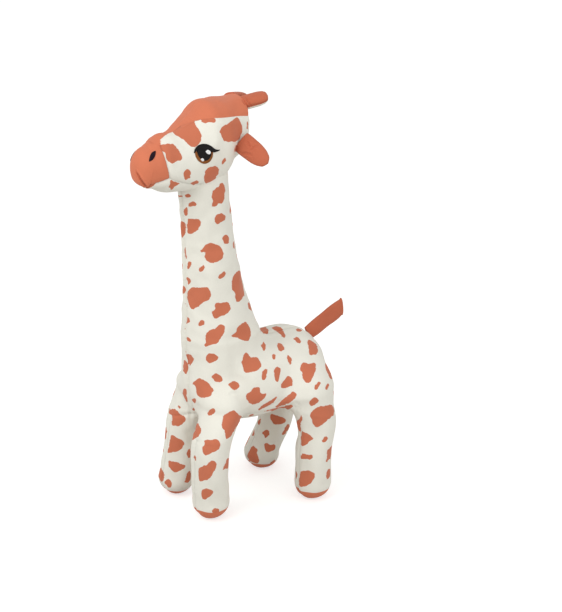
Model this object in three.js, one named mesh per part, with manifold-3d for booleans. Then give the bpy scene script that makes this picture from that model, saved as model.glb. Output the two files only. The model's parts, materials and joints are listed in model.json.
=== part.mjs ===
// A stuffed toy giraffe that stands on four legs, with a long neck and a level head.
// Millimetres, +Z up. The giraffe looks along -Y, and its left side is +X. The origin is on the
// floor, under the middle of the whole toy.
// Every stuffed form is a row of elliptic sections, smoothed and closed with round ends. Its cover
// is the skin of that form, open where it meets the next one, and its filling fills the cover.
import * as THREE from "three";
import { mergeVertices } from "three/addons/utils/BufferGeometryUtils.js";
import Module from "manifold-3d";

const wasm = await Module();
wasm.setup();

// Cloth, filling and the room between pieces
const clothThickness = 1.2;
const pieceGap = 0.3;
const swingClearance = 1.1;
const restDepth = 0.5;

// Torso, from the chest to the rump
const torsoLength = 145;
const torsoWidth = 96;
const torsoDepth = 90;
const bellyHeight = 81.5;
const chestReach = 63;
const chestEndLength = 33.5;
const rumpEndLength = 37;

// Neck, from its root in the shoulders to the dome that carries the head
const neckRootHeight = 175.5;
const neckRootPlace = -25.5;
const neckLength = 149;
const neckLean = 16.5;
const neckRootWidth = 65.5;
const neckRootDepth = 76.5;

// Head, from its flat back to the tip of the muzzle
const headLength = 114.5;
const headDepth = 79.5;
const headWidth = 59;
const headBackReach = 40;
const headDrop = 3;
const headTurn = THREE.MathUtils.degToRad(7);
const headBackEndLength = 5;
const muzzleEndLength = 9;

// Legs
const hipHeight = 112;
const footHeight = 17.5;
const footWidth = 35.5;
const frontHipWidth = 40;
const rearHipWidth = 53;
const frontHipSpread = 53;
const rearHipSpread = 72.5;
const frontHipPlace = -37;
const rearHipPlace = 47;
const soleHeight = 6;

// Ears, horns and tail: flat pieces of two layers, sewn on by their roots
const earLength = 34.5;
const earWidth = 20.5;
const earThickness = 4.7;
const hornLength = 23.5;
const hornWidth = 13;
const hornThickness = 8;
const tailLength = 39;
const tailWidth = 18;
const tailThickness = 3.5;

// Embroidery
const eyeWidth = 16.5;
const eyeHeight = 17.5;
const nostrilLength = 8.5;
const nostrilWidth = 3.6;
const stitchThickness = 0.9;

// Belly gusset between the legs
const bellyPanelWidth = 41;
const bellyPanelFrontReach = 49;
const bellyPanelRearReach = 63;
const bellyPanelHeight = 102;

// How far each stuffed root bends, either way
const neckSwing = THREE.MathUtils.degToRad(12);
const headSwing = THREE.MathUtils.degToRad(10);
const hipSwing = THREE.MathUtils.degToRad(10);

// Sections of the torso: place from chest to rump, top, underside and width, as shares of its
// length, depth, depth and width
const torsoSectionShares = [
  [0.23, 1, 0.07, 0.74],
  [0.36, 1, 0.02, 0.9],
  [0.48, 0.985, 0, 0.98],
  [0.61, 0.925, 0.01, 1],
  [0.75, 0.91, 0.06, 0.95],
];

// Sections of the neck: height, forward lean, width and depth, as shares of its length, lean and
// its width and depth at the root
const neckSectionShares = [
  [0, 0, 1, 1],
  [0.24, 0.36, 0.82, 0.81],
  [0.47, 0.6, 0.75, 0.685],
  [0.71, 0.8, 0.69, 0.63],
  [1, 1, 0.71, 0.615],
];

// Sections of the head: place from back to muzzle tip, top, underside and width, as shares of its
// length, depth, depth and width
const headSectionShares = [
  [0.04, 0.94, 0.27, 0.7],
  [0.14, 0.975, 0.2, 0.78],
  [0.28, 0.96, 0.06, 0.98],
  [0.45, 0.815, 0.06, 0.95],
  [0.62, 0.71, 0.01, 0.79],
  [0.78, 0.675, 0.03, 0.66],
  [0.92, 0.55, 0.12, 0.53],
];

// Seams of the head in side view: place from back to muzzle tip and height, as shares of its
// length and depth. The crown lies above its seam, the muzzle in front of its own, the chin below
const crownSeamShares = [[0.5, 0.745], [0.675, 0.645], [0.81, 0.59]];
const muzzleSeamShares = [[0.81, 0.59], [0.815, 0.55], [0.78, 0.26], [0.92, 0.17]];
const chinSeamShares = [[0.6, 0.05], [0.78, 0.26], [0.92, 0.17]];

// Where the small pieces sit on the head: a point on its middle plane, as shares of its length and
// depth, and the way out from there to its left side
const eyeSeat = { shares: [0.507, 0.47], outward: [1, 0, 0] };
const nostrilSeat = { shares: [0.826, 0.386], outward: [0.67, -0.44, 0.6] };
const earSeat = { shares: [0.15, 0.49], outward: [1, 0, 0] };
const hornSeat = { shares: [0.19, 0.66], outward: [0.3, 0.75, 0.6] };

// Which way the ears, the horns and the tail point, and the way their width lies
const earAim = { direction: [0.94, 0.08, -0.32], broad: [-0.11, 0.64, 0.77] };
const raisedHornAim = { direction: [0.43, 0.85, 0.24], broad: [0.8, -0.35, -0.3] };
const lowHornAim = { direction: [0.4, 0.9, -0.1], broad: [0.8, -0.3, -0.3] };
const tailAim = { direction: [0, 0.85, 0.53], broad: [0, -0.53, 0.85] };
const tailSeat = { shares: [0.63, 0.344], outward: [0, 0.8, 0.6] };

// Outlines of the eye, as shares of its width and height from its middle: towards the back of the
// head, and up. The black field is lid, lash and pupil in one
const blackShares = [
  [-0.52, 0.04], [-0.42, 0.33], [-0.17, 0.48], [0.12, 0.48], [0.38, 0.375], [0.54, 0.24],
  [0.86, 0.19], [0.84, 0.12], [0.62, 0.07], [0.44, 0.13], [0.35, 0.02], [0.27, -0.25],
  [0.08, -0.44], [-0.08, -0.44], [-0.27, -0.21], [-0.38, 0.1],
];
const irisShares = [
  [-0.46, 0], [-0.4, -0.22], [-0.23, -0.46], [0.04, -0.55], [0.26, -0.44], [0.45, -0.14],
  [0.45, 0.02], [0.3, -0.05], [-0.3, -0.05],
];
const largeGlintShares = [[0.08, 0.1], [0.2, 0.2], [0.34, 0.1], [0.28, -0.02], [0.14, -0.01]];
const smallGlintShares = [[-0.2, -0.3], [-0.12, -0.25], [-0.02, -0.31], [-0.1, -0.38]];
const nostrilTilt = THREE.MathUtils.degToRad(-25);

// Width and thickness of the flat pieces along their length, as shares of their own, root first
const earSectionShares = [[0, 0.9, 0.7], [0.35, 1, 1], [0.7, 0.9, 0.95], [0.85, 0.72, 0.75]];
const hornSectionShares = [[0, 0.9, 0.8], [0.4, 1, 1], [0.78, 0.88, 0.95]];
const tailSectionShares = [[0, 0.9, 0.9], [0.5, 1, 1], [0.97, 0.95, 0.9]];

// Height of the knee and the shin sections, as shares of the hip's height, and how thick a leg is
// there, as shares of the foot's width
const kneeHeightShare = 0.72;
const shinHeightShare = 0.43;
const kneeWidthShare = 1.05;
const shinWidthShare = 0.98;

// The four legs: side, which pair, and how far knee, shin and foot stand off the hip towards the
// outside and the back, as shares of the hip's height
const legs = [
  {
    name: "front_leg_left",
    side: 1,
    front: true,
    leanShares: [[0.04, -0.14], [0.03, -0.155], [0, -0.136]],
  },
  {
    name: "front_leg_right",
    side: -1,
    front: true,
    leanShares: [[0.02, -0.09], [0.03, -0.135], [0.05, -0.175]],
  },
  {
    name: "rear_leg_left",
    side: 1,
    front: false,
    leanShares: [[0.08, 0.06], [0.08, 0.045], [0.075, 0.04]],
  },
  {
    name: "rear_leg_right",
    side: -1,
    front: false,
    leanShares: [[-0.02, 0.14], [-0.045, 0.095], [-0.03, -0.02]],
  },
];

// How much of a limb's round end stays bare, where its cover is sewn to the next one
const openEndShare = 0.45;

// Facets of the forms
const torsoSides = 20;
const neckSides = 16;
const headSides = 20;
const legSides = 12;
const flatSides = 12;
const endSteps = 4;

// Facets of the rooms that the limbs swing in: fine in the covers, coarse and wider in the fillings
const coverRoom = { clearance: swingClearance, sides: 24, endSteps: 6 };
const fillingRoom = { clearance: swingClearance + 2 * clothThickness, sides: 12, endSteps: 3 };

const cream = 0xe9e4da;
const terracotta = 0xc96f50;

function cloth(color) {
  return new THREE.MeshStandardMaterial({ color, roughness: 0.85, metalness: 0 });
}

const materials = {
  printedCloth: cloth(cream),
  plainCloth: cloth(terracotta),
  filling: cloth(0xf4f4f2),
  blackThread: cloth(0x16120f),
  brownThread: cloth(0x8a5226),
  whiteThread: cloth(0xffffff),
  darkThread: cloth(0x2c1420),
};

// Solids and meshes

function solidOf(geometry) {
  const bare = geometry.clone();
  bare.deleteAttribute("normal");
  bare.deleteAttribute("uv");
  const merged = mergeVertices(bare);
  return new wasm.Manifold(new wasm.Mesh({
    numProp: 3,
    vertProperties: new Float32Array(merged.attributes.position.array),
    triVerts: new Uint32Array(merged.index.array),
  }));
}

function geometryOf(solid) {
  const mesh = solid.getMesh();
  const geometry = new THREE.BufferGeometry();
  geometry.setAttribute("position", new THREE.BufferAttribute(mesh.vertProperties, mesh.numProp));
  geometry.setIndex(new THREE.BufferAttribute(mesh.triVerts, 1));
  geometry.computeVertexNormals();
  return geometry;
}

function addPiece(group, name, solid, material) {
  const mesh = new THREE.Mesh(geometryOf(solid), material);
  mesh.name = name;
  group.add(mesh);
  return mesh;
}

// Takes a geometry from one group's frame to another's, both placed in the same toy
function carried(geometry, from, to) {
  const matrix = to.matrixWorld.clone().invert().multiply(from.matrixWorld);
  return geometry.clone().applyMatrix4(matrix);
}

// Stuffed forms

// A section is an ellipse: its centre and its two half axes as vectors
function sectionAt(centre, side, front) {
  return { centre, side, front };
}

function grown(vector, by) {
  return vector.clone().setLength(vector.length() + by);
}

// Smooth sections through the key ones, the same number of steps between each two
function smoothSections(keys, stepsBetween) {
  const curves = ["centre", "side", "front"].map(
    (part) => new THREE.CatmullRomCurve3(keys.map((key) => key[part]), false, "catmullrom"));
  const count = (keys.length - 1) * stepsBetween;
  return Array.from({ length: count + 1 }, (_, step) => {
    const [centre, side, front] = curves.map((curve) => curve.getPoint(step / count));
    return sectionAt(centre, side, front);
  });
}

// Sections that round off an end. reach is the vector from the last section's centre to the pole,
// and a squareness under 1 makes the end flatter with a tighter edge
function endSections(last, reach, steps, squareness) {
  return Array.from({ length: steps - 1 }, (_, step) => {
    const angle = ((step + 1) / steps) * (Math.PI / 2);
    const width = Math.cos(angle) ** squareness;
    const travel = Math.sin(angle) ** squareness;
    return sectionAt(
      last.centre.clone().addScaledVector(reach, travel),
      last.side.clone().multiplyScalar(width),
      last.front.clone().multiplyScalar(width));
  });
}

// A closed surface through a row of sections, with a pole at each end
function loft(sections, firstPole, lastPole, sides) {
  const points = [firstPole];
  for (const { centre, side, front } of sections) {
    for (let corner = 0; corner < sides; corner += 1) {
      const angle = (corner / sides) * 2 * Math.PI;
      points.push(centre.clone()
        .addScaledVector(side, Math.cos(angle))
        .addScaledVector(front, Math.sin(angle)));
    }
  }
  points.push(lastPole);
  const lastIndex = points.length - 1;
  const lastRow = sections.length - 1;
  const cornerIndex = (row, corner) => 1 + row * sides + (corner % sides);
  const faces = [];
  for (let corner = 0; corner < sides; corner += 1) {
    const next = corner + 1;
    faces.push([0, cornerIndex(0, next), cornerIndex(0, corner)]);
    faces.push([lastIndex, cornerIndex(lastRow, corner), cornerIndex(lastRow, next)]);
    for (let row = 0; row < lastRow; row += 1) {
      faces.push([cornerIndex(row, corner), cornerIndex(row, next), cornerIndex(row + 1, corner)]);
      faces.push([cornerIndex(row + 1, corner), cornerIndex(row, next), cornerIndex(row + 1, next)]);
    }
  }
  const middle = sections[Math.floor(sections.length / 2)];
  const along = lastPole.clone().sub(firstPole);
  const turned = middle.side.clone().cross(middle.front).dot(along) < 0;
  const geometry = new THREE.BufferGeometry();
  geometry.setFromPoints(points);
  geometry.setIndex(faces.flatMap((face) => (turned ? [...face].reverse() : face)));
  return geometry;
}

// A stuffed form from its key sections, made smaller all round by inset
function stuffedForm(form, inset, sides) {
  const steps = form.endSteps ?? endSteps;
  const rows = smoothSections(form.keys, form.stepsBetween).map(({ centre, side, front }) =>
    sectionAt(centre, grown(side, -inset), grown(front, -inset)));
  const firstReach = grown(form.firstReach, -inset);
  const lastReach = grown(form.lastReach, -inset);
  const first = rows[0];
  const last = rows[rows.length - 1];
  const sections = [
    ...endSections(first, firstReach, steps, form.firstSquareness ?? 1).reverse(),
    ...rows,
    ...endSections(last, lastReach, steps, form.lastSquareness ?? 1),
  ];
  const firstPole = first.centre.clone().add(firstReach);
  const lastPole = last.centre.clone().add(lastReach);
  return loft(sections, firstPole, lastPole, sides ?? form.sides);
}

// Key sections of a form that lies along Y, such as the torso or the head
function lyingKeys(shares, { start, direction, length, floor, depth, width }) {
  return shares.map(([along, top, bottom, widthShare]) => sectionAt(
    new THREE.Vector3(0, start + direction * along * length, floor + ((top + bottom) / 2) * depth),
    new THREE.Vector3((widthShare * width) / 2, 0, 0),
    new THREE.Vector3(0, 0, ((top - bottom) / 2) * depth)));
}

// Key sections of a form that stands along Z, such as the neck or a leg
function standingKey(x, y, z, width, depth) {
  return sectionAt(
    new THREE.Vector3(x, y, z),
    new THREE.Vector3(width / 2, 0, 0),
    new THREE.Vector3(0, depth / 2, 0));
}

const torsoForm = {
  keys: lyingKeys(torsoSectionShares, {
    start: -chestReach,
    direction: 1,
    length: torsoLength,
    floor: bellyHeight,
    depth: torsoDepth,
    width: torsoWidth,
  }),
  stepsBetween: 1,
  firstReach: new THREE.Vector3(0, -chestEndLength, 0),
  lastReach: new THREE.Vector3(0, rumpEndLength, 0),
  firstSquareness: 0.85,
  lastSquareness: 0.9,
  sides: torsoSides,
};

// In the neck's frame, whose origin is the middle of its root
const neckForm = {
  keys: neckSectionShares.map(([height, lean, width, depth]) => standingKey(
    0, -lean * neckLean, height * neckLength, width * neckRootWidth, depth * neckRootDepth)),
  stepsBetween: 2,
  firstReach: new THREE.Vector3(0, 0, -neckRootDepth / 2),
  lastReach: new THREE.Vector3(0, 0, (neckSectionShares.at(-1)[3] * neckRootDepth) / 2),
  sides: neckSides,
};

// In the head's frame, whose origin is the top of the neck, turned with the head
const headForm = {
  keys: lyingKeys(headSectionShares, {
    start: headBackReach,
    direction: -1,
    length: headLength,
    floor: -headDrop,
    depth: headDepth,
    width: headWidth,
  }),
  stepsBetween: 1,
  firstReach: new THREE.Vector3(0, headBackEndLength, 0),
  lastReach: new THREE.Vector3(0, -muzzleEndLength, 0),
  firstSquareness: 0.75,
  lastSquareness: 0.9,
  sides: headSides,
};

// In the leg's frame, whose origin is the hip
function legForm({ side, front, leanShares }) {
  const hipWidth = front ? frontHipWidth : rearHipWidth;
  const heightShares = [kneeHeightShare, shinHeightShare, footHeight / hipHeight];
  const widthShares = [kneeWidthShare, shinWidthShare, 1];
  const lowerKeys = heightShares.map((heightShare, index) => {
    const [outward, back] = leanShares[index];
    const width = widthShares[index] * footWidth;
    const drop = (1 - heightShare) * hipHeight;
    return standingKey(side * outward * hipHeight, back * hipHeight, -drop, width, width);
  });
  return {
    keys: [standingKey(0, 0, 0, hipWidth, hipWidth), ...lowerKeys],
    stepsBetween: 1,
    firstReach: new THREE.Vector3(0, 0, hipWidth / 2),
    lastReach: new THREE.Vector3(0, 0, -footHeight - restDepth),
    lastSquareness: 0.88,
    sides: legSides,
  };
}

// The room that a form needs in its neighbour to turn about X at the bend, a point in its own
// frame: its round end, and its sections widened to the front and back by how far they swing and
// by how far one that leans away from the bend is lifted
function swingRoom(form, bend, swing, room) {
  const keys = form.keys.map(({ centre, side, front }) => {
    const reach = Math.abs(centre.z - bend.z) * Math.tan(swing);
    const lift = Math.abs(centre.y - bend.y) * Math.sin(swing);
    const slant = front.length() * (1 / Math.cos(swing) - 1);
    return sectionAt(
      centre,
      grown(side, room.clearance),
      grown(front, room.clearance + reach + lift + slant));
  });
  const roomForm = {
    ...form,
    keys,
    endSteps: room.endSteps,
    firstReach: grown(form.firstReach, room.clearance),
    lastReach: grown(form.lastReach, room.clearance),
  };
  return stuffedForm(roomForm, 0, room.sides);
}

// Places of the bodies. Each group stands at the bend that carries it

const giraffe = new THREE.Group();
const neck = new THREE.Group();
const head = new THREE.Group();
giraffe.add(neck);
neck.add(head);
neck.position.set(0, neckRootPlace, neckRootHeight);
head.position.set(0, -neckLean, neckLength);
head.rotation.z = headTurn;

const legGroups = legs.map((leg) => {
  const group = new THREE.Group();
  const spread = leg.front ? frontHipSpread : rearHipSpread;
  group.position.set((leg.side * spread) / 2, leg.front ? frontHipPlace : rearHipPlace, hipHeight);
  giraffe.add(group);
  return group;
});
giraffe.updateMatrixWorld(true);

// The skin of a form and what fills it
function coverOf(form) {
  const inside = stuffedForm(form, clothThickness, form.sides / 2);
  return solidOf(stuffedForm(form, 0)).subtract(solidOf(inside));
}

function fillingOf(form) {
  return solidOf(stuffedForm(form, clothThickness + pieceGap, form.sides / 2));
}

// A block that fills a frame from one corner to the other
function block(low, high) {
  const size = high.clone().sub(low);
  const centre = low.clone().add(high).multiplyScalar(0.5);
  const geometry = new THREE.BoxGeometry(size.x, size.y, size.z);
  return solidOf(geometry.translate(centre.x, centre.y, centre.z));
}

// Further than any piece reaches from the origin of any frame
const far = neckRootHeight + neckLength + headLength;

// Everything beyond one plane across an axis, on the side that sign gives
function beyond(axis, place, sign) {
  const low = new THREE.Vector3(-far, -far, -far);
  const high = new THREE.Vector3(far, far, far);
  low[axis] = sign > 0 ? place : place - 2 * far;
  high[axis] = sign > 0 ? place + 2 * far : place;
  return block(low, high);
}

// The two sides of a cover, cut apart along its middle plane
function addSides(group, name, cover, material) {
  addPiece(group, `${name}_left`, cover.intersect(beyond("x", pieceGap / 2, 1)), material);
  addPiece(group, `${name}_right`, cover.intersect(beyond("x", -pieceGap / 2, -1)), material);
}

// Torso: two sides and a belly gusset over the filling, with the rooms of neck and legs cut in

const legForms = legs.map(legForm);

// A torso piece without the rooms of the neck and the legs
function withoutLimbRooms(solid, room) {
  const limbs = [
    { form: neckForm, group: neck, swing: neckSwing },
    ...legForms.map((form, index) => ({ form, group: legGroups[index], swing: hipSwing })),
  ];
  return limbs.reduce((rest, { form, group, swing }) => {
    const taken = carried(swingRoom(form, new THREE.Vector3(), swing, room), group, giraffe);
    return rest.subtract(solidOf(taken));
  }, solid);
}

const torsoCover = withoutLimbRooms(coverOf(torsoForm), coverRoom);
const torsoFilling = withoutLimbRooms(fillingOf(torsoForm), fillingRoom);

function bellyRegion(margin) {
  const halfWidth = bellyPanelWidth / 2 + margin;
  return block(
    new THREE.Vector3(-halfWidth, -bellyPanelFrontReach - margin, 0),
    new THREE.Vector3(halfWidth, bellyPanelRearReach + margin, bellyPanelHeight + margin));
}

addSides(giraffe, "torso_side", torsoCover.subtract(bellyRegion(pieceGap)), materials.printedCloth);
addPiece(giraffe, "belly_gusset", torsoCover.intersect(bellyRegion(0)), materials.printedCloth);
addPiece(giraffe, "torso_filling", torsoFilling, materials.filling);

// Neck: two sides, open at both ends, over a tightly packed filling

const neckRootRadius = neckRootDepth / 2;
const neckTopRadius = (neckSectionShares.at(-1)[3] * neckRootDepth) / 2;
const neckCover = coverOf(neckForm)
  .subtract(beyond("z", -openEndShare * neckRootRadius, -1))
  .subtract(beyond("z", neckLength + openEndShare * neckTopRadius, 1));
addSides(neck, "neck_side", neckCover, materials.printedCloth);
addPiece(neck, "neck_filling", fillingOf(neckForm), materials.filling);

// Head: crown, muzzle, chin gusset and two cheeks over the filling

function withoutNeckRoom(solid, room) {
  const taken = carried(swingRoom(neckForm, head.position, headSwing, room), neck, head);
  return solid.subtract(solidOf(taken));
}

const headCover = withoutNeckRoom(coverOf(headForm), coverRoom);

// A point on a middle plane, back and up from its frame's origin
function middlePlanePoint(y, z) {
  return new THREE.Vector3(0, y, z);
}

// A point on the head's middle plane from its shares
function headPoint([along, up]) {
  return middlePlanePoint(headBackReach - along * headLength, up * headDepth - headDrop);
}

// The part of the head's side view inside an outline, right across the head. The outline is moved
// by back and up, which widens the region at its seam
function sideRegion(points, back, up) {
  const outline = new THREE.Shape(points.map(({ y, z }) => new THREE.Vector2(y + back, z + up)));
  const across = new THREE.Matrix4().makeBasis(
    new THREE.Vector3(0, 1, 0), new THREE.Vector3(0, 0, 1), new THREE.Vector3(1, 0, 0));
  const prism = new THREE.ExtrudeGeometry(outline, { depth: 2 * headWidth, bevelEnabled: false });
  return solidOf(prism.translate(0, 0, -headWidth).applyMatrix4(across));
}

function crownRegion(margin) {
  const seam = crownSeamShares.map(headPoint);
  const outline = [
    middlePlanePoint(far, far),
    middlePlanePoint(far, seam[0].z),
    ...seam,
    middlePlanePoint(-far, seam.at(-1).z),
    middlePlanePoint(-far, far),
  ];
  return sideRegion(outline, 0, -margin);
}

function muzzleRegion(margin) {
  const seam = muzzleSeamShares.map(headPoint);
  const outline = [
    middlePlanePoint(seam[0].y, far),
    ...seam,
    middlePlanePoint(-far, seam.at(-1).z),
    middlePlanePoint(-far, far),
  ];
  return sideRegion(outline, margin, -margin);
}

function chinRegion(margin) {
  const seam = chinSeamShares.map(headPoint);
  const outline = [
    middlePlanePoint(seam[0].y, -far),
    ...seam,
    middlePlanePoint(-far, seam.at(-1).z),
    middlePlanePoint(-far, -far),
  ];
  return sideRegion(outline, margin, margin);
}

const crown = headCover.intersect(crownRegion(0)).subtract(muzzleRegion(pieceGap));
const chin = headCover.intersect(chinRegion(0)).subtract(muzzleRegion(pieceGap));
const cheeks = headCover
  .subtract(crownRegion(pieceGap))
  .subtract(muzzleRegion(pieceGap))
  .subtract(chinRegion(pieceGap));
addPiece(head, "crown", crown, materials.plainCloth);
addPiece(head, "muzzle", headCover.intersect(muzzleRegion(0)), materials.plainCloth);
addPiece(head, "chin_gusset", chin, materials.printedCloth);
addSides(head, "cheek", cheeks, materials.printedCloth);
addPiece(head, "head_filling", withoutNeckRoom(fillingOf(headForm), fillingRoom), materials.filling);

// Small pieces on a surface

// Where a line from inside a form leaves it: the point and the way straight out of the surface
function seatOn(form, inside, outward) {
  const geometry = stuffedForm(form, 0);
  geometry.computeVertexNormals();
  const surface = new THREE.Mesh(geometry, new THREE.MeshBasicMaterial());
  const start = inside.clone().addScaledVector(outward, far);
  const ray = new THREE.Raycaster(start, outward.clone().negate());
  const [hit] = ray.intersectObject(surface);
  return { point: hit.point, normal: hit.normal };
}

function mirrored([x, y, z], side) {
  return new THREE.Vector3(side * x, y, z);
}

function headSeat(seat, side) {
  const outward = mirrored(seat.outward, side).normalize();
  return seatOn(headForm, headPoint(seat.shares), outward);
}

// Satin stitch lies on the cloth in a thin layer that follows the head's surface
const stitchLayer = solidOf(stuffedForm(headForm, -pieceGap - stitchThickness))
  .subtract(solidOf(stuffedForm(headForm, -pieceGap)));

// A prism through the surface at a seat, with an outline that runs towards the back of the head and
// up, turned by tilt. What it cuts from the stitch layer is a field of stitches
function fieldPrism(points, { point, normal }, side, tilt = 0) {
  const out = normal.clone();
  const back = new THREE.Vector3(0, 0, 1).cross(out).multiplyScalar(side).normalize();
  const up = out.clone().cross(back).multiplyScalar(side);
  const drawn = points.map((place) => place.clone().rotateAround(new THREE.Vector2(), tilt));
  const outline = new THREE.Shape(drawn.map(({ x, y }) => new THREE.Vector2(side * x, y)));
  const prism = new THREE.ExtrudeGeometry(outline, { depth: eyeWidth, bevelEnabled: false });
  const frame = new THREE.Matrix4().makeBasis(back.clone().multiplyScalar(side), up, out);
  frame.setPosition(point.clone().addScaledVector(out, -eyeWidth / 2));
  return solidOf(prism.applyMatrix4(frame));
}

function eyePoints(shares, growth = 0) {
  const outline = shares.map(([back, up]) => new THREE.Vector2(back * eyeWidth, up * eyeHeight));
  const middlePoint = outline.reduce((sum, place) => sum.add(place), new THREE.Vector2())
    .divideScalar(outline.length);
  return outline.map((place) => {
    const outwards = place.clone().sub(middlePoint);
    return middlePoint.clone().add(outwards.setLength(outwards.length() + growth));
  });
}

function addEye(side, sideName) {
  const seat = headSeat(eyeSeat, side);
  const prism = (shares, growth) => fieldPrism(eyePoints(shares, growth), seat, side);
  const fields = [
    ["lid_and_pupil", materials.blackThread, prism(blackShares, 0)
      .subtract(prism(largeGlintShares, pieceGap))
      .subtract(prism(smallGlintShares, pieceGap))],
    ["iris", materials.brownThread, prism(irisShares, 0).subtract(prism(blackShares, pieceGap))],
    ["large_glint", materials.whiteThread, prism(largeGlintShares, 0)],
    ["small_glint", materials.whiteThread, prism(smallGlintShares, 0)],
  ];
  for (const [name, material, cut] of fields) {
    addPiece(head, `eye_${sideName}_${name}`, cut.intersect(stitchLayer), material);
  }
}

function addNostril(side, sideName) {
  const oval = new THREE.EllipseCurve(0, 0, nostrilWidth / 2, nostrilLength / 2);
  const points = oval.getPoints(flatSides).slice(1);
  const prism = fieldPrism(points, headSeat(nostrilSeat, side), side, nostrilTilt);
  addPiece(head, `nostril_${sideName}`, prism.intersect(stitchLayer), materials.darkThread);
}

// Flat sewn pieces: a form whose root is rounded about the line that it bends on. Its group stands
// on that line, with X along it, Z away from the root and Y through the thickness. A piece whose
// direction isn't square to its root line leans over along it
function addFlatPiece(parent, seat, aim, side, { length, width, thickness, shares }) {
  const broad = mirrored(aim.broad, side).projectOnPlane(seat.normal).normalize();
  const aimed = mirrored(aim.direction, side).normalize();
  const lean = aimed.dot(broad);
  const direction = aimed.clone().projectOnPlane(broad).normalize();
  const rise = Math.sqrt(1 - lean ** 2);
  const group = new THREE.Group();
  group.quaternion.setFromRotationMatrix(
    new THREE.Matrix4().makeBasis(broad, direction.clone().cross(broad), direction));
  const rootRadius = (thickness * shares[0][2]) / 2;
  const tipShare = 1 - shares.at(-1)[0];
  group.position.copy(seat.point).addScaledVector(seat.normal, rootRadius + pieceGap);
  parent.add(group);
  const form = {
    keys: shares.map(([along, widthShare, thicknessShare]) => standingKey(
      along * lean * length,
      0,
      along * rise * length,
      widthShare * width,
      thicknessShare * thickness)),
    stepsBetween: 2,
    endSteps: 3,
    firstReach: new THREE.Vector3(0, 0, -rootRadius),
    lastReach: new THREE.Vector3(lean, 0, rise).multiplyScalar(tipShare * length),
    sides: flatSides,
  };
  return { group, solid: solidOf(stuffedForm(form, 0)) };
}

// One of the two cloth layers of a flat piece, on the side of its middle that sign gives
function addLayer({ group, solid }, name, sign, material) {
  addPiece(group, name, solid.intersect(beyond("y", (sign * pieceGap) / 2, sign)), material);
}

for (const [side, sideName] of [[1, "left"], [-1, "right"]]) {
  addEye(side, sideName);
  addNostril(side, sideName);

  const ear = addFlatPiece(head, headSeat(earSeat, side), earAim, side, {
    length: earLength,
    width: earWidth,
    thickness: earThickness,
    shares: earSectionShares,
  });
  addLayer(ear, `ear_${sideName}_front`, side, materials.plainCloth);
  addLayer(ear, `ear_${sideName}_back`, -side, materials.plainCloth);

  const hornAim = side > 0 ? raisedHornAim : lowHornAim;
  const horn = addFlatPiece(head, headSeat(hornSeat, side), hornAim, side, {
    length: hornLength,
    width: hornWidth,
    thickness: hornThickness,
    shares: hornSectionShares,
  });
  addLayer(horn, `horn_${sideName}_top`, -side, materials.plainCloth);
  addLayer(horn, `horn_${sideName}_underside`, side, materials.printedCloth);
}

// Tail: a flat strap on the rump, broad side to the left and right
const [tailAlongShare, tailHeightShare] = tailSeat.shares;
const rumpInside = middlePlanePoint(
  tailAlongShare * torsoLength - chestReach, bellyHeight + tailHeightShare * torsoDepth);
const rumpSeat = seatOn(torsoForm, rumpInside, mirrored(tailSeat.outward, 1).normalize());
const tail = addFlatPiece(giraffe, rumpSeat, tailAim, 1, {
  length: tailLength,
  width: tailWidth,
  thickness: tailThickness,
  shares: tailSectionShares,
});
addPiece(tail.group, "tail", tail.solid, materials.plainCloth);

// Legs: a cover open towards the body, its filling and a sole, cut flat on the floor

const floor = -hipHeight;
legs.forEach((leg, index) => {
  const group = legGroups[index];
  const form = legForms[index];
  const radius = form.keys[0].side.length();
  const underFloor = beyond("z", floor, -1);
  const opening = beyond("x", -leg.side * openEndShare * radius, -leg.side)
    .intersect(beyond("z", -openEndShare * radius, 1));
  const cover = coverOf(form).subtract(underFloor);
  const sole = cover.intersect(beyond("z", floor + soleHeight, -1));
  const sleeve = cover.intersect(beyond("z", floor + soleHeight + pieceGap, 1)).subtract(opening);
  addPiece(group, `${leg.name}_cover`, sleeve, materials.printedCloth);
  addPiece(group, `${leg.name}_filling`, fillingOf(form), materials.filling);
  addPiece(group, `${leg.name}_sole`, sole, materials.plainCloth);
});

// The origin goes to the floor, under the middle of the toy
giraffe.updateMatrixWorld(true);
const extent = new THREE.Box3().setFromObject(giraffe, true);
const middle = extent.getCenter(new THREE.Vector3());
giraffe.position.set(-middle.x, -middle.y, -extent.min.z);

export default giraffe;
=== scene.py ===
# %% [markdown]
# # A stuffed giraffe
# The toy is sewn from a smooth stretch knit, cream with printed terracotta spots, and stuffed hard.
# This lesson builds its cloth as surfaces that numpy works out, on a frame of CAD bodies that stays
# fixed. The first cell loads that frame.

# %% Load the frame
import json
import math

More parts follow.
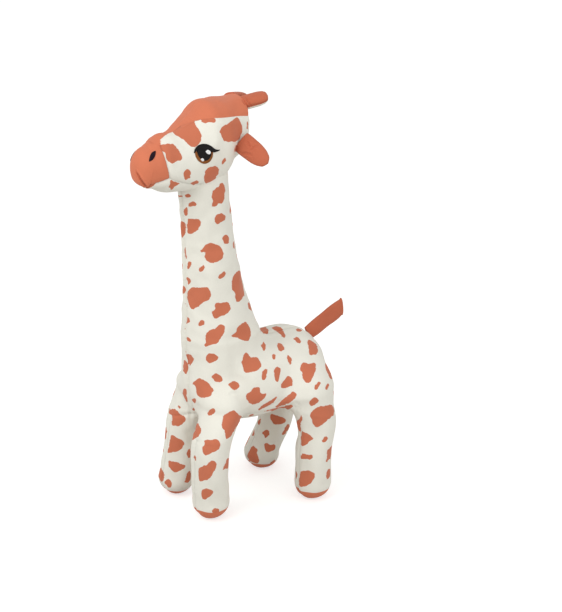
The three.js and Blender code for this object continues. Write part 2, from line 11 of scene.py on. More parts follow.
import bpy
import numpy as np
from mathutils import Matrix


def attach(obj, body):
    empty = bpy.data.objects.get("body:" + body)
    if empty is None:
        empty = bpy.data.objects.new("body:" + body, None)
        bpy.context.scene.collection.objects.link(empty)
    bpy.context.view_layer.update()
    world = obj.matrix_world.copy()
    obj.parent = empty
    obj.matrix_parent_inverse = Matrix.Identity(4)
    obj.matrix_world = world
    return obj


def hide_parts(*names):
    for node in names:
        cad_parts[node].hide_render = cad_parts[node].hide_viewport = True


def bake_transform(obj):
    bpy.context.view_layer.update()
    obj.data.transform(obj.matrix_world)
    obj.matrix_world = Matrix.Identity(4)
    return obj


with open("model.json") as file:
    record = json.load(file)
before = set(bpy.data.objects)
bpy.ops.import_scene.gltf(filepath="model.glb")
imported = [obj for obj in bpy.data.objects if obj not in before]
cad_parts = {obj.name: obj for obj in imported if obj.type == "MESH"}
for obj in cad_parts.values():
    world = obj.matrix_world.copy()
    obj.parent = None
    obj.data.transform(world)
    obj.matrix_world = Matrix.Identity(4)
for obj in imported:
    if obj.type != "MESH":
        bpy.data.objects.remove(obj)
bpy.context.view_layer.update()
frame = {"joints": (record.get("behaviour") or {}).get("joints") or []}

joints = {joint["name"]: joint for joint in frame["joints"]}

# %% [markdown]
# All shapes below are in millimetres, in the toy's own frame: x to its left, y to its back, z up
# from the floor, with its middle plane at x = 0. The CAD frame has its origin under the middle of
# the toy's box instead, so one shift leads from one to the other. The neck's joint gives it.

# %% From the toy's frame to the CAD frame
MM = 0.001
NECK_ROOT = np.array([0.0, -25.5, 175.5])
SHIFT = np.array(joints["neck_bend"]["pos_m"]) / MM - NECK_ROOT


def joint_place(name):
    """Where a joint lies, in the toy's frame: its CAD place less the shift."""
    return np.array(joints[name]["pos_m"]) / MM - SHIFT


def in_cad(place):
    """A place of the toy's frame in the CAD frame, in metres: shifted, then scaled."""
    return tuple((np.array(place) + SHIFT) * MM)


print("shift to the CAD frame", SHIFT.round(2), "mm")

# %% [markdown]
# The camera comes early, because the spots are placed by what it sees. It stands 1.53 m away, to
# the front left of the toy and a little above it. A view of a point is worked out by hand here, so
# that numpy can say which pixel of the photograph shows it.

# %% The camera
VIEW_TURN = math.radians(58)
VIEW_RISE = math.radians(22.5)
VIEW_REACH = 1530.0
VIEW_TARGET = np.array([0.0, 0.0, 204.0])
PHOTO_PX = np.array([562, 612])
TARGET_PX = np.array([243, 296])
FOCUS_PX = 1650.0
SIGHT_START = VIEW_REACH - 150.0
SIGHT_STEPS = 60

outward = np.array([
    math.sin(VIEW_TURN) * math.cos(VIEW_RISE),
    -math.cos(VIEW_TURN) * math.cos(VIEW_RISE),
    math.sin(VIEW_RISE),
])
rightward = np.array([math.cos(VIEW_TURN), math.sin(VIEW_TURN), 0.0])
upward = np.cross(outward, rightward)
camera_place = VIEW_TARGET + VIEW_REACH * outward


def seen(points):
    """The pixel that shows each point, and its depth: the point's place across and up, as the
    camera measures them, divided by its depth and multiplied by the focal length."""
    away = points - camera_place
    depth = -away @ outward
    across = TARGET_PX[0] + FOCUS_PX * (away @ rightward) / depth
    down = TARGET_PX[1] - FOCUS_PX * (away @ upward) / depth
    return np.stack([across, down], axis=-1), depth


def sight_lines(pixels):
    """Unit directions from the camera through pixels: forward, plus right and up by how far the
    pixel lies off the target's, over the focal length."""
    off = (np.asarray(pixels, float) - TARGET_PX) / FOCUS_PX
    rays = off[..., :1] * rightward - off[..., 1:] * upward - outward
    return rays / np.linalg.norm(rays, axis=-1, keepdims=True)


def met(form, pixels, place=np.zeros(3), axes=np.eye(3)):
    """Where the camera's lines through pixels meet a form, in the form's own frame, which has its
    origin at place and its directions in the rows of axes. Each step along a line is 0.8 times
    the nearness that is left."""
    rays = sight_lines(pixels).reshape(-1, 3) @ axes.T
    start = np.broadcast_to((camera_place - place) @ axes.T, rays.shape)
    travel = np.full(len(rays), SIGHT_START)
    for _ in range(SIGHT_STEPS):
        travel += 0.8 * form(start + travel[:, None] * rays)
    return start + travel[:, None] * rays


camera_data = bpy.data.cameras.new("camera")
camera_data.sensor_fit = "VERTICAL"
camera_data.sensor_height = 36.0
camera_data.lens = FOCUS_PX / PHOTO_PX[1] * camera_data.sensor_height
camera_data.shift_x = (PHOTO_PX[0] / 2 - TARGET_PX[0]) / PHOTO_PX[1]
camera_data.shift_y = (TARGET_PX[1] - PHOTO_PX[1] / 2) / PHOTO_PX[1]
camera = bpy.data.objects.new("camera", camera_data)
bpy.context.collection.objects.link(camera)
turn = np.eye(4)
turn[:3, :3] = np.stack([rightward, upward, outward], axis=1)
turn[:3, 3] = in_cad(camera_place)
camera.matrix_world = turn.T
bpy.context.scene.camera = camera
print("camera at", (camera_place * MM).round(3), "m, lens", round(camera_data.lens, 1), "mm")

# %% [markdown]
# Every stuffed form starts as a tube. A tube has key sections along one axis: for each, a centre
# and two half widths. A smooth curve runs through the keys. How near a point is to the tube is one
# number, zero on the cloth and negative inside. Such numbers are easy to join: the lesser of two is
# the two forms together, and a soft version of it leaves a fillet where they meet.

# %% Tubes as a measure of nearness
TUBE_ROWS = 300


def smooth_rows(keys, places):
    """Rows at the given places on a smooth curve through key rows, whose first column is the
    place. Between two keys it is the cubic with the keys' values and their mean slopes."""
    start = keys[:, 0]
    slopes = np.gradient(keys, start, axis=0)
    left = np.clip(np.searchsorted(start, places, side="right") - 1, 0, len(keys) - 2)
    step = (start[left + 1] - start[left])[:, None]
    t = ((places - start[left])[:, None]) / step
    return ((2 * t**3 - 3 * t**2 + 1) * keys[left] + (t**3 - 2 * t**2 + t) * step * slopes[left]
            + (3 * t**2 - 2 * t**3) * keys[left + 1] + (t**3 - t**2) * step * slopes[left + 1])


def stuffed_tube(axis, keys, ends, end_powers=(2.0, 2.0), power=2.0, low_power=None, drawn=0.0):
    """A tube along an axis (1 lies, 2 stands). Each key is place, centre and centre across, half
    width and half width across. Past the first and last key it closes over the length in ends.
    Inside, r is the point's distance from the centre in half widths; past an end, the distance
    along counts in end lengths too. The nearness is r less one, times the mean half width. The
    powers say how square a section is, and a low power its lower half. Where the tube is drawn
    out, the half widths also shrink past the first key, by that much for each millimetre, over
    one and a half end lengths."""
    keys = np.array(keys, float)
    keys = keys[np.argsort(keys[:, 0])]
    places = np.linspace(keys[0, 0], keys[-1, 0], TUBE_ROWS)
    table = smooth_rows(keys, places)
    across = [k for k in range(3) if k != axis]

    def rows_at(along):
        return [np.interp(along, places, table[:, column]) for column in range(1, 5)]

    def nearness(points):
        along = points[:, axis]
        c1, c2, r1, r2 = rows_at(along)
        less = drawn * np.clip(places[0] - along, 0, 1.5 * ends[0])
        r1, r2 = r1 - less, r2 - less
        u = np.abs(points[:, across[0]] - c1) / r1
        v = np.abs(points[:, across[1]] - c2) / r2
        bent = np.where(points[:, across[1]] < c2, low_power or power, power)
        r = (u**bent + v**bent) ** (1 / bent)
        first = along < places[0]
        reach = np.where(first, (places[0] - along) / ends[0],
                         np.clip((along - places[-1]) / ends[1], 0, None))
        bend = np.where(first, *end_powers)
        return ((r**bend + reach**bend) ** (1 / bend) - 1) * np.sqrt(r1 * r2)

    def grid(around, rows):
        """The tube's own surface as a grid: rows of sections, with round ends and poles."""
        angle = np.linspace(0, np.pi / 2, rows // 6 + 2)[1:-1]
        along = np.concatenate([
            places[0] - ends[0] * np.sin(angle[::-1]), np.linspace(places[0], places[-1], rows),
            places[-1] + ends[1] * np.sin(angle)])
        size = np.concatenate([np.cos(angle[::-1]), np.ones(rows), np.cos(angle)])
        c1, c2, r1, r2 = rows_at(along)
        turn = np.linspace(0, 2 * np.pi, around, endpoint=False)
        points = np.empty((len(along), around, 3))
        points[..., axis] = along[:, None]
        points[..., across[0]] = c1[:, None] + (size * r1)[:, None] * np.cos(turn)
        points[..., across[1]] = c2[:, None] + (size * r2)[:, None] * np.sin(turn)
        poles = np.zeros((2, 3))
        for k, (row, end) in enumerate(((0, places[0] - ends[0]), (-1, places[-1] + ends[1]))):
            poles[k, axis] = end
            poles[k, across[0]] = c1[row]
            poles[k, across[1]] = c2[row]
        return points, poles

    nearness.grid = grid
    return nearness


def joined(first, second, fillet):
    """Two forms as one: the lesser nearness, softened where they are within a fillet of each
    other by taking off fillet times h times (1 - h), h being each one's share."""
    def nearness(points):
        a, b = first(points), second(points)
        h = np.clip(0.5 + 0.5 * (b - a) / fillet, 0, 1)
        return b + (a - b) * h - fillet * h * (1 - h)
    return nearness


def slope_of(field, points, step=0.2):
    """The slope of a field: its change over a small step each way along x, y and z."""
    slopes = np.empty_like(points)
    for k in range(3):
        reach = np.zeros(3)
        reach[k] = step
        slopes[:, k] = (field(points + reach) - field(points - reach)) / (2 * step)
    return slopes


def settle(field, points, rounds=5, cap=4.0):
    """Points moved onto a form's cloth: each step goes down the slope by nearness over slope."""
    for _ in range(rounds):
        slope = slope_of(field, points)
        square = np.maximum((slope**2).sum(1), 1e-6)
        step = (field(points) / square)[:, None] * slope
        length = np.linalg.norm(step, axis=1, keepdims=True)
        points = points - step * np.minimum(1, cap / np.maximum(length, 1e-9))
    return points


# %% [markdown]
# The body is one torso, one neck and four legs. On the real toy the outside of each leg is cut in
# one with the side of the body, so the forms flow together with no seam on the outside. The legs
# don't stand alike: each leans its own way, as stuffing does. A leg's foot is round and rests on
# the floor, which is z = 0.

# %% The forms of the body
torso = stuffed_tube(1, [
    [-29.6, 0, 129.0, 34.6, 41.3],
    [-10.8, 0, 127.0, 43.2, 42.0],
    [6.6, 0, 124.8, 47.0, 39.6],
    [25.5, 0, 123.8, 48.0, 36.4],
    [45.8, 0, 124.4, 45.2, 36.2],
], ends=(30.5, 35.6), end_powers=(2.2, 2.2))

neck = stuffed_tube(2, [
    [175.5, 0, -25.1, 32.4, 37.2],
    [211.3, 0, -30.9, 26.7, 30.0],
    [245.5, 0, -35.4, 24.6, 26.2],
    [281.3, 0, -38.7, 22.2, 23.8],
    [324.5, 0, -42.0, 22.6, 22.9],
], ends=(38.0, 23.5))

LEG_KEYS = {
    "front_leg_left": [[17.5, 26.5, -52.2, 17.7, 17.7], [48.2, 29.9, -54.4, 17.4, 17.4],
                       [80.6, 31.0, -52.7, 18.6, 18.6], [112, 26.5, -37.0, 20.0, 20.0]],
    "front_leg_right": [[17.5, -31.8, -55.9, 17.5, 17.5], [48.2, -29.4, -51.4, 17.2, 17.2],
                        [80.6, -27.9, -46.0, 18.2, 18.2], [112, -26.0, -36.0, 19.0, 19.0]],
    "rear_leg_left": [[17.5, 44.6, 51.5, 17.7, 17.7], [48.2, 45.2, 52.0, 17.4, 17.4],
                      [80.6, 45.2, 53.7, 18.6, 18.6], [112, 36.2, 47.0, 26.5, 26.5]],
    "rear_leg_right": [[17.5, -33.6, 43.4, 17.7, 17.7], [48.2, -31.9, 56.4, 17.4, 17.4],
                       [80.6, -34.4, 62.0, 18.6, 18.6], [112, -36.2, 47.0, 26.5, 26.5]],
}
FOOT_POWERS = {"front": 1.92, "rear": 2.2}
NECK_FILLET = 18.0
LEG_FILLET = 13.0

legs = {name: stuffed_tube(2, keys, ends=(17.8, keys[-1][3]),
                           end_powers=(FOOT_POWERS[name.split("_")[0]], 2.0))
        for name, keys in LEG_KEYS.items()}

body_form = joined(torso, neck, NECK_FILLET)
for leg in legs.values():
    body_form = joined(body_form, leg, LEG_FILLET)
print("body form of", 2 + len(legs), "tubes")

# %% [markdown]
# One mesh now has to cover all six tubes. Each tube gives its own closed grid, Blender's voxel
# remesh welds the grids into one even skin, and the skin is settled onto the filleted form. The
# welding is done twice, because the fillet pulls the first skin's points together.

# %% One skin over the body
VOXEL = 1.4


def triangles_of(mesh):
    """A Blender mesh as points in millimetres and triangles."""
    mesh.calc_loop_triangles()
    points = np.empty(len(mesh.vertices) * 3)
    mesh.vertices.foreach_get("co", points)
    corners = np.empty(len(mesh.loop_triangles) * 3, np.int32)
    mesh.loop_triangles.foreach_get("vertices", corners)
    return points.reshape(-1, 3) / MM, corners.reshape(-1, 3)


def closed_grid(points, poles, first=0):
    """Points and triangles of a grid that closes around. Each square between two rows is two
    triangles, and the first and last rows close onto a pole each, with a fan of triangles."""
    rows, around = points.shape[:2]
    row, corner = np.meshgrid(np.arange(rows - 1), np.arange(around), indexing="ij")
    a = row * around + corner
    b = row * around + (corner + 1) % around
    ring = np.arange(around)
    after = (ring + 1) % around
    last = (rows - 1) * around
    pole = np.full(around, rows * around)
    triangles = np.concatenate([
        np.stack([a, b, b + around], -1).reshape(-1, 3),
        np.stack([a, b + around, a + around], -1).reshape(-1, 3),
        np.stack([pole, after, ring], -1),
        np.stack([pole + 1, last + ring, last + after], -1)])
    return np.concatenate([points.reshape(-1, 3), poles]), triangles + first


def welded(points, triangles, voxel):
    """The outer skin of closed pieces that overlap, as a mesh with even spacing."""
    mesh = bpy.data.meshes.new("weld")
    mesh.from_pydata((points * MM).tolist(), [], triangles.tolist())
    holder = bpy.data.objects.new("weld", mesh)
    bpy.context.collection.objects.link(holder)
    remesh = holder.modifiers.new("remesh", "REMESH")
    remesh.mode = "VOXEL"
    remesh.voxel_size = voxel * MM
    graph = bpy.context.evaluated_depsgraph_get()
    result = triangles_of(holder.evaluated_get(graph).to_mesh())
    bpy.data.objects.remove(holder)
    bpy.data.meshes.remove(mesh)
    return result


tube_points, tube_triangles, count = [], [], 0
for tube in (torso, neck, *legs.values()):
    flat, triangles = closed_grid(*tube.grid(48, 60), first=count)
    tube_points.append(flat)
    tube_triangles.append(triangles)
    count += len(flat)
skin_points, skin_triangles = welded(
    np.concatenate(tube_points), np.concatenate(tube_triangles), 2 * VOXEL)
skin_points = settle(body_form, skin_points)
skin_points, skin_triangles = welded(skin_points, skin_triangles, VOXEL)
skin_points = settle(body_form, skin_points)
print("body skin", len(skin_points), "points,", len(skin_triangles), "triangles")

# %% [markdown]
# Sewing leaves its mark on a skin: along a seam the cloth dips, and it puckers a little to both
# sides, because the thread gathers it. Each seam is where some field is zero, and the distance from
# it is the field over its slope. The marks are moves of the points along the skin's normals.

# %% Marks of sewing
WAVE_COUNT = 16
WAVE_GAIN = 2.2
PUCKER_LENGTH = 4.6
PUCKER_REACH = 4.0
SWELL_HEIGHT = 0.35
SWELL_PLACE = 4.5
SWELL_WIDTH = 3.0
CREASE_SWELL_SHARE = 0.45
CREASE_SWELL_PLACE_SHARE = 2.2
NO_SEAM = 99.0


def normals_of(points, triangles):
    """Unit normals: each triangle's normal, as long as its area, summed at its corners."""
    corners = points[triangles]
    face = np.cross(corners[:, 1] - corners[:, 0], corners[:, 2] - corners[:, 0])
    total = np.zeros_like(points)
    for k in range(3):
        np.add.at(total, triangles[:, k], face)
    return total / np.maximum(np.linalg.norm(total, axis=1, keepdims=True), 1e-12)


def waves(points, length, seed):
    """Smooth noise between about -1 and 1: the mean of sixteen sine waves of about one length,
    in seeded directions."""
    rng = np.random.default_rng(seed)
    directions = rng.normal(size=(WAVE_COUNT, 3))
    directions /= np.linalg.norm(directions, axis=1, keepdims=True)
    pace = 2 * np.pi / length * rng.uniform(0.7, 1.4, WAVE_COUNT)
    phase = rng.uniform(0, 2 * np.pi, WAVE_COUNT)
    return np.sin(points @ directions.T * pace + phase).mean(1) * WAVE_GAIN


def lumps(points, way, height, length, seed):
    """Moves by smooth noise along a direction, as uneven stuffing makes them."""
    return (height * waves(points, length, seed))[:, None] * way


def seam_distance(field, points):
    """Distance from a seam, where the field is zero: the field over its slope."""
    slope = np.linalg.norm(slope_of(field, points), axis=1)
    return field(points) / np.maximum(slope, 0.2)


def bell(distance, width):
    """A bell curve: one at no distance, and falling with the square of distance over width."""
    return np.exp(-((distance / width) ** 2))


def sewn(points, normals, distance, along, seed, depth=0.9, width=1.3, pucker=0.22):
    """The skin beside a seam: a groove that fades as a bell curve, a low swell to each side of
    it, and puckers. Those are waves across the seam, unevenly spaced, that fade with the
    distance. along is the place along the seam."""
    groove = -depth * bell(distance, width)
    beat = np.sin(2 * np.pi * along / PUCKER_LENGTH + 2.5 * waves(points, 24, seed))
    fade = bell(distance, PUCKER_REACH) * (0.5 + 0.5 * waves(points, 30, seed + 1))
    swell = SWELL_HEIGHT * bell(np.abs(distance) - SWELL_PLACE, SWELL_WIDTH)
    return (groove + swell + pucker * beat * fade)[:, None] * normals


def line_gap(points, places):
    """How far each point is from a line through places, and the share of the line's length at
    which it is nearest."""
    places = np.array(places, float)
    steps = np.diff(places, axis=0)
    length = np.linalg.norm(steps, axis=1)
    before = np.concatenate([[0], np.cumsum(length)[:-1]])
    off = points[:, None] - places[:-1]
    along = np.clip((off * steps).sum(-1) / length**2, 0, 1)
    gap = np.linalg.norm(off - along[..., None] * steps, axis=-1)
    nearest = gap.argmin(1)
    row = np.arange(len(points))
    return gap[row, nearest], (before + along * length)[row, nearest] / length.sum()


def creased(points, normals, places, depth=0.8, width=1.3):
    """A crease along a line through places: a groove shaped as a bell curve between two low
    swells. It thins to nothing towards both ends."""
    moves = np.zeros_like(points)
    near = np.flatnonzero(np.linalg.norm(points - places.mean(0), axis=1)
                          < np.ptp(places, axis=0).max() + 5 * width)
    gap, share = line_gap(points[near], places)
    fade = np.clip(5 * share * (1 - share), 0, 1)
    groove = bell(gap, width)
    swell = CREASE_SWELL_SHARE * bell(gap - CREASE_SWELL_PLACE_SHARE * width, width)
    moves[near] = (depth * fade * (swell - groove))[:, None] * normals[near]
    return moves


# %% [markdown]
# Stuffing pushes the cloth out between its seams, which hold it back. That is simulated on a
# coarse copy of the skin, with Blender's cloth: the copy starts a little inside, its seams are
# held, the cloth is cut a few hundredths too large, and pressure fills it. What the simulation
# gives is a move in or out for each coarse point, kept short by a cap, because the toy is stuffed
# hard and keeps its form: of each move, the mean of the moves about it is taken off, which leaves
# the puffs beside the seams. The fine skin follows those moves.

# %% A simulation of the stuffing
SIM_VOXEL = 3.6
SIM_FRAMES = 20
SIM_START = 1.0
SIM_CAP = 1.3
SIM_HEAD_CAP = 0.7
SIM_HELD = 2.4
SIM_PRESSURE = 4.0
SIM_SPARE = 0.03
SIM_ABOUT = 11.0


def spread(points, places, moves, width=3.0, slab=10.0):
    """Moves for points from the moves of places near them: their mean, each weighted by a bell
    curve of its distance. It is worked out slab by slab of the height, to save memory."""
    result = np.zeros((len(points), moves.shape[1]))
    for low in np.arange(points[:, 2].min(), points[:, 2].max(), slab):
        mine = np.flatnonzero((points[:, 2] >= low) & (points[:, 2] < low + slab))
        near = np.flatnonzero(np.abs(places[:, 2] - low - slab / 2) < slab / 2 + 3 * width)
        if not len(mine) or not len(near):
            continue
        a, b = points[mine], places[near]
        square = (a**2).sum(1)[:, None] + (b**2).sum(1)[None] - 2 * a @ b.T
        weight = np.exp(-square / (2 * width**2)) + 1e-12
        result[mine] = weight @ moves[near] / weight.sum(1, keepdims=True)
    return result


def stuffing(points, triangles, form, gap_of, cap=SIM_CAP):
    coarse, faces = welded(points, triangles, SIM_VOXEL)
    coarse = settle(form, coarse)
    start = coarse - SIM_START * normals_of(coarse, faces)
    mesh = bpy.data.meshes.new("stuffing")
    mesh.from_pydata((start * MM).tolist(), [], faces.tolist())
    holder = bpy.data.objects.new("stuffing", mesh)
    bpy.context.collection.objects.link(holder)
    held = holder.vertex_groups.new(name="held")
    held.add(np.flatnonzero(gap_of(coarse) < SIM_HELD).tolist(), 1.0, "REPLACE")
    cloth = holder.modifiers.new("cloth", "CLOTH")
    settings = cloth.settings
    settings.vertex_group_mass = held.name
    settings.use_pressure = True
    settings.uniform_pressure_force = SIM_PRESSURE
    settings.shrink_min = -SIM_SPARE
    settings.effector_weights.gravity = 0
    settings.quality = 5
    cloth.collision_settings.use_collision = False
    cloth.collision_settings.use_self_collision = False
    cloth.point_cache.frame_end = SIM_FRAMES
    for count in range(SIM_FRAMES):
        bpy.context.scene.frame_set(count + 1)
    graph = bpy.context.evaluated_depsgraph_get()
    final, _ = triangles_of(holder.evaluated_get(graph).to_mesh())
    bpy.data.objects.remove(holder)
    bpy.data.meshes.remove(mesh)
    bpy.context.scene.frame_set(1)
    outward_way = normals_of(coarse, faces)
    length = ((final - coarse) * outward_way).sum(1)
    length -= spread(coarse, coarse, length[:, None], SIM_ABOUT)[:, 0]
    print(f"  stuffing: {len(coarse)} points, moves up to {np.abs(length).max():.2f} mm, "
          f"{(np.abs(length) > cap).mean():.0%} of them capped")
    return spread(points, coarse, np.clip(length, -cap, cap)[:, None] * outward_way)


# %% [markdown]
# The body's panels meet in these seams: one round the middle plane, down the chest and along the
# back; one that runs round the belly gusset and down the front and the back of each leg, through
# the leg's middle. The gusset tapers off before it reaches the chest and the rump.

# %% The body's seams
LEG_TOP = 79.0
BELLY_HALF_WIDTH = 35.0
BELLY_FRONT = -28.0
BELLY_REAR = 6.0
BELLY_EASE = 22.0
GUSSET_TOPS = [(-70, 95), (-50, 95), (-28, 106), (26, 106), (60, 98), (90, 98)]
GUSSET_TAPER = 9.0


def leg_middle(keys, z):
    """How far a leg's middle is from the toy's middle plane, at height z."""
    keys = np.array(keys)
    return np.interp(z, keys[:, 0], np.abs(keys[:, 1]))


def gusset_field(points):
    """Negative on the belly gusset and the inner halves of the legs: how far out a point is, less
    the gusset's half width there. That is the leg's middle beside a leg and the belly's half
    width between them, and it shrinks to nothing over the taper below the gusset's top."""
    x, y, z = points.T
    front, rear = (np.where(x > 0, leg_middle(LEG_KEYS[f"{end}_leg_left"], z),
                            leg_middle(LEG_KEYS[f"{end}_leg_right"], z))
                   for end in ("front", "rear"))
    to_belly = np.clip((y - BELLY_FRONT) / BELLY_EASE, 0, 1)
    to_rear = np.clip((y - BELLY_REAR) / BELLY_EASE, 0, 1)
    half = front + (BELLY_HALF_WIDTH - front) * to_belly + (rear - BELLY_HALF_WIDTH) * to_rear
    top = np.interp(y, *np.transpose(GUSSET_TOPS))
    return np.abs(x) - half * np.clip((top - z) / GUSSET_TAPER, 0, 1)


def middle_field(points):
    """Negative on the right half."""
    return points[:, 0]


def body_seam_gap(points):
    """Distance from the nearest seam of the body."""
    gusset = seam_distance(gusset_field, points)
    return np.minimum(np.abs(gusset), np.where(gusset > 0, np.abs(points[:, 0]), NO_SEAM))


BODY_CREASES_PX = [
    [(262, 409), (270, 406), (280, 401), (288, 396)],
    [(270, 411.5), (281, 408.5), (290, 405), (299, 399.5)],
    [(296, 401), (298, 406), (300, 412)],
    [(292, 403), (296, 408), (298.5, 416)],
    [(228, 396), (232, 394), (237, 393.5)],
    [(236, 420), (243, 416.5), (252, 413)],
    [(186, 392), (189, 402), (190.5, 414), (191, 424)],
]
gusset_gap = seam_distance(gusset_field, skin_points)
push = stuffing(skin_points, skin_triangles, body_form, body_seam_gap)
normals = normals_of(skin_points + push, skin_triangles)
middle_gap = np.where(gusset_gap > 0, np.abs(skin_points[:, 0]), NO_SEAM)
along = skin_points[:, 1] + 0.8 * skin_points[:, 2]
moves = sewn(skin_points, normals, gusset_gap, along, seed=3)
moves += sewn(skin_points, normals, middle_gap, along, seed=5, depth=0.75, pucker=0.16)
moves += lumps(skin_points, normals, 0.35, 34, 7)
for crease in BODY_CREASES_PX:
    moves += creased(skin_points, normals, met(body_form, crease))
skin_points = skin_points + push + moves
skin_points[:, 2] = np.maximum(skin_points[:, 2], 0)
skin_normals = normals_of(skin_points, skin_triangles)
# This seam distance sets the cloth's painted shade along the seams.
skin_seam = np.minimum(np.abs(gusset_gap), middle_gap)
print("seams moved points by up to", round(float(np.linalg.norm(moves, axis=1).max()), 2), "mm")

# %% [markdown]
# The head is longer than it is wide, flat on its crown and at its back, and blunt at the muzzle. It
# is turned seven degrees to the toy's left on the top of the neck. One tube gives its form too, in
# a frame of its own: y runs to its back, z up from the top of the neck.

# %% The form of the head
HEAD_TURN = math.radians(7)
HEAD_PLACE = np.array([0.0, -42.0, 324.5])
head_axes = np.array([[math.cos(HEAD_TURN), math.sin(HEAD_TURN), 0],
                      [-math.sin(HEAD_TURN), math.cos(HEAD_TURN), 0], [0, 0, 1.0]])


def from_head(points):
    """Points of the head's frame in the toy's: turned by the head's axes, then moved."""
    return points @ head_axes + HEAD_PLACE


head_form = stuffed_tube(1, [
    [-60.5, 0, 23.9, 16.2, 17.8],
    [-49.3, 0, 24.6, 19.4, 24.2],
    [-31.0, 0, 24.7, 23.3, 26.9],
    [-11.5, 0, 30.2, 28.2, 33.2],
    [-1.5, 0, 35.2, 28.9, 37.4],
    [9.5, 0, 37.1, 28.7, 36.1],
    [24.0, 0, 42.7, 23.2, 29.6],
    [34.8, 0, 45.1, 20.8, 26.7],
], ends=(13.6, 3.6), end_powers=(2.6, 3.4), power=2.1, low_power=2.25, drawn=0.27)
HEAD_VOXEL = 0.72


def on_head(pixels):
    """Where the camera's lines through pixels meet the head, in the head's frame."""
    return met(head_form, pixels, HEAD_PLACE, head_axes)


CROWN_SEAM_PX = [(160.5, 139.5), (164.5, 135.8), (168.5, 133.3), (172, 132), (183, 126),
                 (195, 121), (205, 118.8), (215, 118), (230, 117), (240, 116), (247.5, 116)]
MUZZLE_SIDE_PX = [(160.6, 140), (160.2, 143), (160.4, 146), (161.2, 149), (163, 152),
                  (165.5, 159), (167.5, 166), (169.5, 175), (170, 178.5)]
MUZZLE_FOOT_PX = [(170, 178.5), (158, 183), (150, 185), (147, 187)]
CHIN_SEAM_PX = [(170, 178.5), (176, 181.3), (183, 183.5), (190, 184.6), (198, 185), (205, 185)]
CROWN_DROP = 9.0
DROP_EASE = 4.0
BRIDGE_REAR = 6.0
BRIDGE_EASE = 12.0
FLAT_REAR = -25.0
FLAT_EASE = 8.0
ASIDE_SHARE = 0.5
MOST_ASIDE = 4.0
crown_seam_x, *crown_seam = on_head(CROWN_SEAM_PX).T
muzzle_side = on_head(MUZZLE_SIDE_PX)[::-1, :0:-1]
muzzle_foot = on_head(MUZZLE_FOOT_PX)[::-1, 1:]
chin_seam = np.concatenate([muzzle_foot[:-1], on_head(CHIN_SEAM_PX)[:, 1:], [[8, -8]]])


def muzzle_field(points):
    """Negative on the muzzle: in front of its side seam and above its lower one."""
    y, z = points[:, 1], points[:, 2]
    return np.maximum(y - np.interp(z, *muzzle_side.T), np.interp(y, *muzzle_foot.T) - z)


def crown_field(points):
    """Negative on the crown: how far a point is below the crown's seam. On the right side of the
    nose's bridge the seam lies lower, by the drop. Further forward the bridge is flat on top, so
    a share of a point's distance to the left of the seam counts there too."""
    x, y, z = points.T
    drop = np.clip(-x / DROP_EASE, 0, 1) * np.clip((BRIDGE_REAR - y) / BRIDGE_EASE, 0, 1)
    aside = np.clip(x - np.interp(y, crown_seam[0], crown_seam_x), -MOST_ASIDE, MOST_ASIDE)
    on_top = np.clip((FLAT_REAR - y) / FLAT_EASE, 0, 1)
    return np.interp(y, *crown_seam) - CROWN_DROP * drop - z + ASIDE_SHARE * on_top * aside


def chin_field(points):
    """Negative on the chin gusset: how far a point is above its seam."""
    return points[:, 2] - np.interp(points[:, 1], *chin_seam.T)


head_points, head_triangles = welded(*closed_grid(*head_form.grid(190, 150)), HEAD_VOXEL)
head_points = settle(head_form, head_points)
head_width = float(np.ptp(head_points[:, 0]))
print("head", len(head_points), "points; at its widest", round(head_width, 1), "mm")

# %% [markdown]
# The head's panels are sewn the same way. A short dart pinches the front of the muzzle on its
# middle: two small ridges with a stitched valley between them, which make the mouth. The stuffing
# is not quite even either: it fills the muzzle above and below the mouth and the nose's bridge
# more than the rest, and the back of the head leans.

# %% The head's seams and the dart of the mouth
MOUTH_PX = [(135.5, 170), (138.5, 175), (141.5, 179.5), (145, 183.5), (147.5, 186.3)]
PUFFS_PX = [((142, 184), 1.3, 7.0), ((142, 150), 2.0, 8.0), ((158, 134.8), 0.5, 7.0)]
BACK_LEAN = 0.12
RIDGE_HEIGHT = 1.3
RIDGE_PLACE = 1.7
RIDGE_WIDTH = 0.75
VALLEY_DEPTH = 2.1
VALLEY_WIDTH = 0.8


def head_seam_gap(points):
    """Distance from the nearest seam of the head."""
    muzzle, crown, chin = (seam_distance(field, points)
                           for field in (muzzle_field, crown_field, chin_field))
    return np.where(muzzle < 0, -muzzle, np.minimum(np.abs(muzzle), np.minimum(
        np.abs(crown), np.abs(chin))))


push = stuffing(head_points, head_triangles, head_form, head_seam_gap, SIM_HEAD_CAP)
normals = normals_of(head_points + push, head_triangles)
muzzle_gap = seam_distance(muzzle_field, head_points)
outside_muzzle = muzzle_gap > 0
crown_gap = np.where(outside_muzzle, seam_distance(crown_field, head_points), NO_SEAM)
chin_gap = np.where(outside_muzzle, seam_distance(chin_field, head_points), NO_SEAM)
cheek = outside_muzzle & (crown_gap > 0) & (chin_gap > 0)
back_gap = np.where(cheek, np.abs(head_points[:, 0]), NO_SEAM)
along = head_points[:, 1] + 0.7 * head_points[:, 2]
above_bridge = np.clip((head_points[:, 2] - 45) / 3, 0, 1)
muzzle_gap = muzzle_gap + 40 * above_bridge
moves = lumps(head_points, normals, 0.25, 26, 29)
for seed, (gap, depth) in enumerate(((muzzle_gap, 0.6), (crown_gap, 0.2), (chin_gap, 0.6),
                                     (back_gap, 0.5))):
    moves += sewn(head_points, normals, gap, along, 20 + seed, depth, width=1.0, pucker=0.1)
near_muzzle = np.flatnonzero(head_points[:, 1] < -50)
mouth_gap = np.full(len(head_points), NO_SEAM)
mouth_share = np.zeros(len(head_points))
mouth_gap[near_muzzle], mouth_share[near_muzzle] = line_gap(
    head_points[near_muzzle], on_head(MOUTH_PX))
thin = np.clip(9 * mouth_share * (1 - mouth_share), 0, 1)
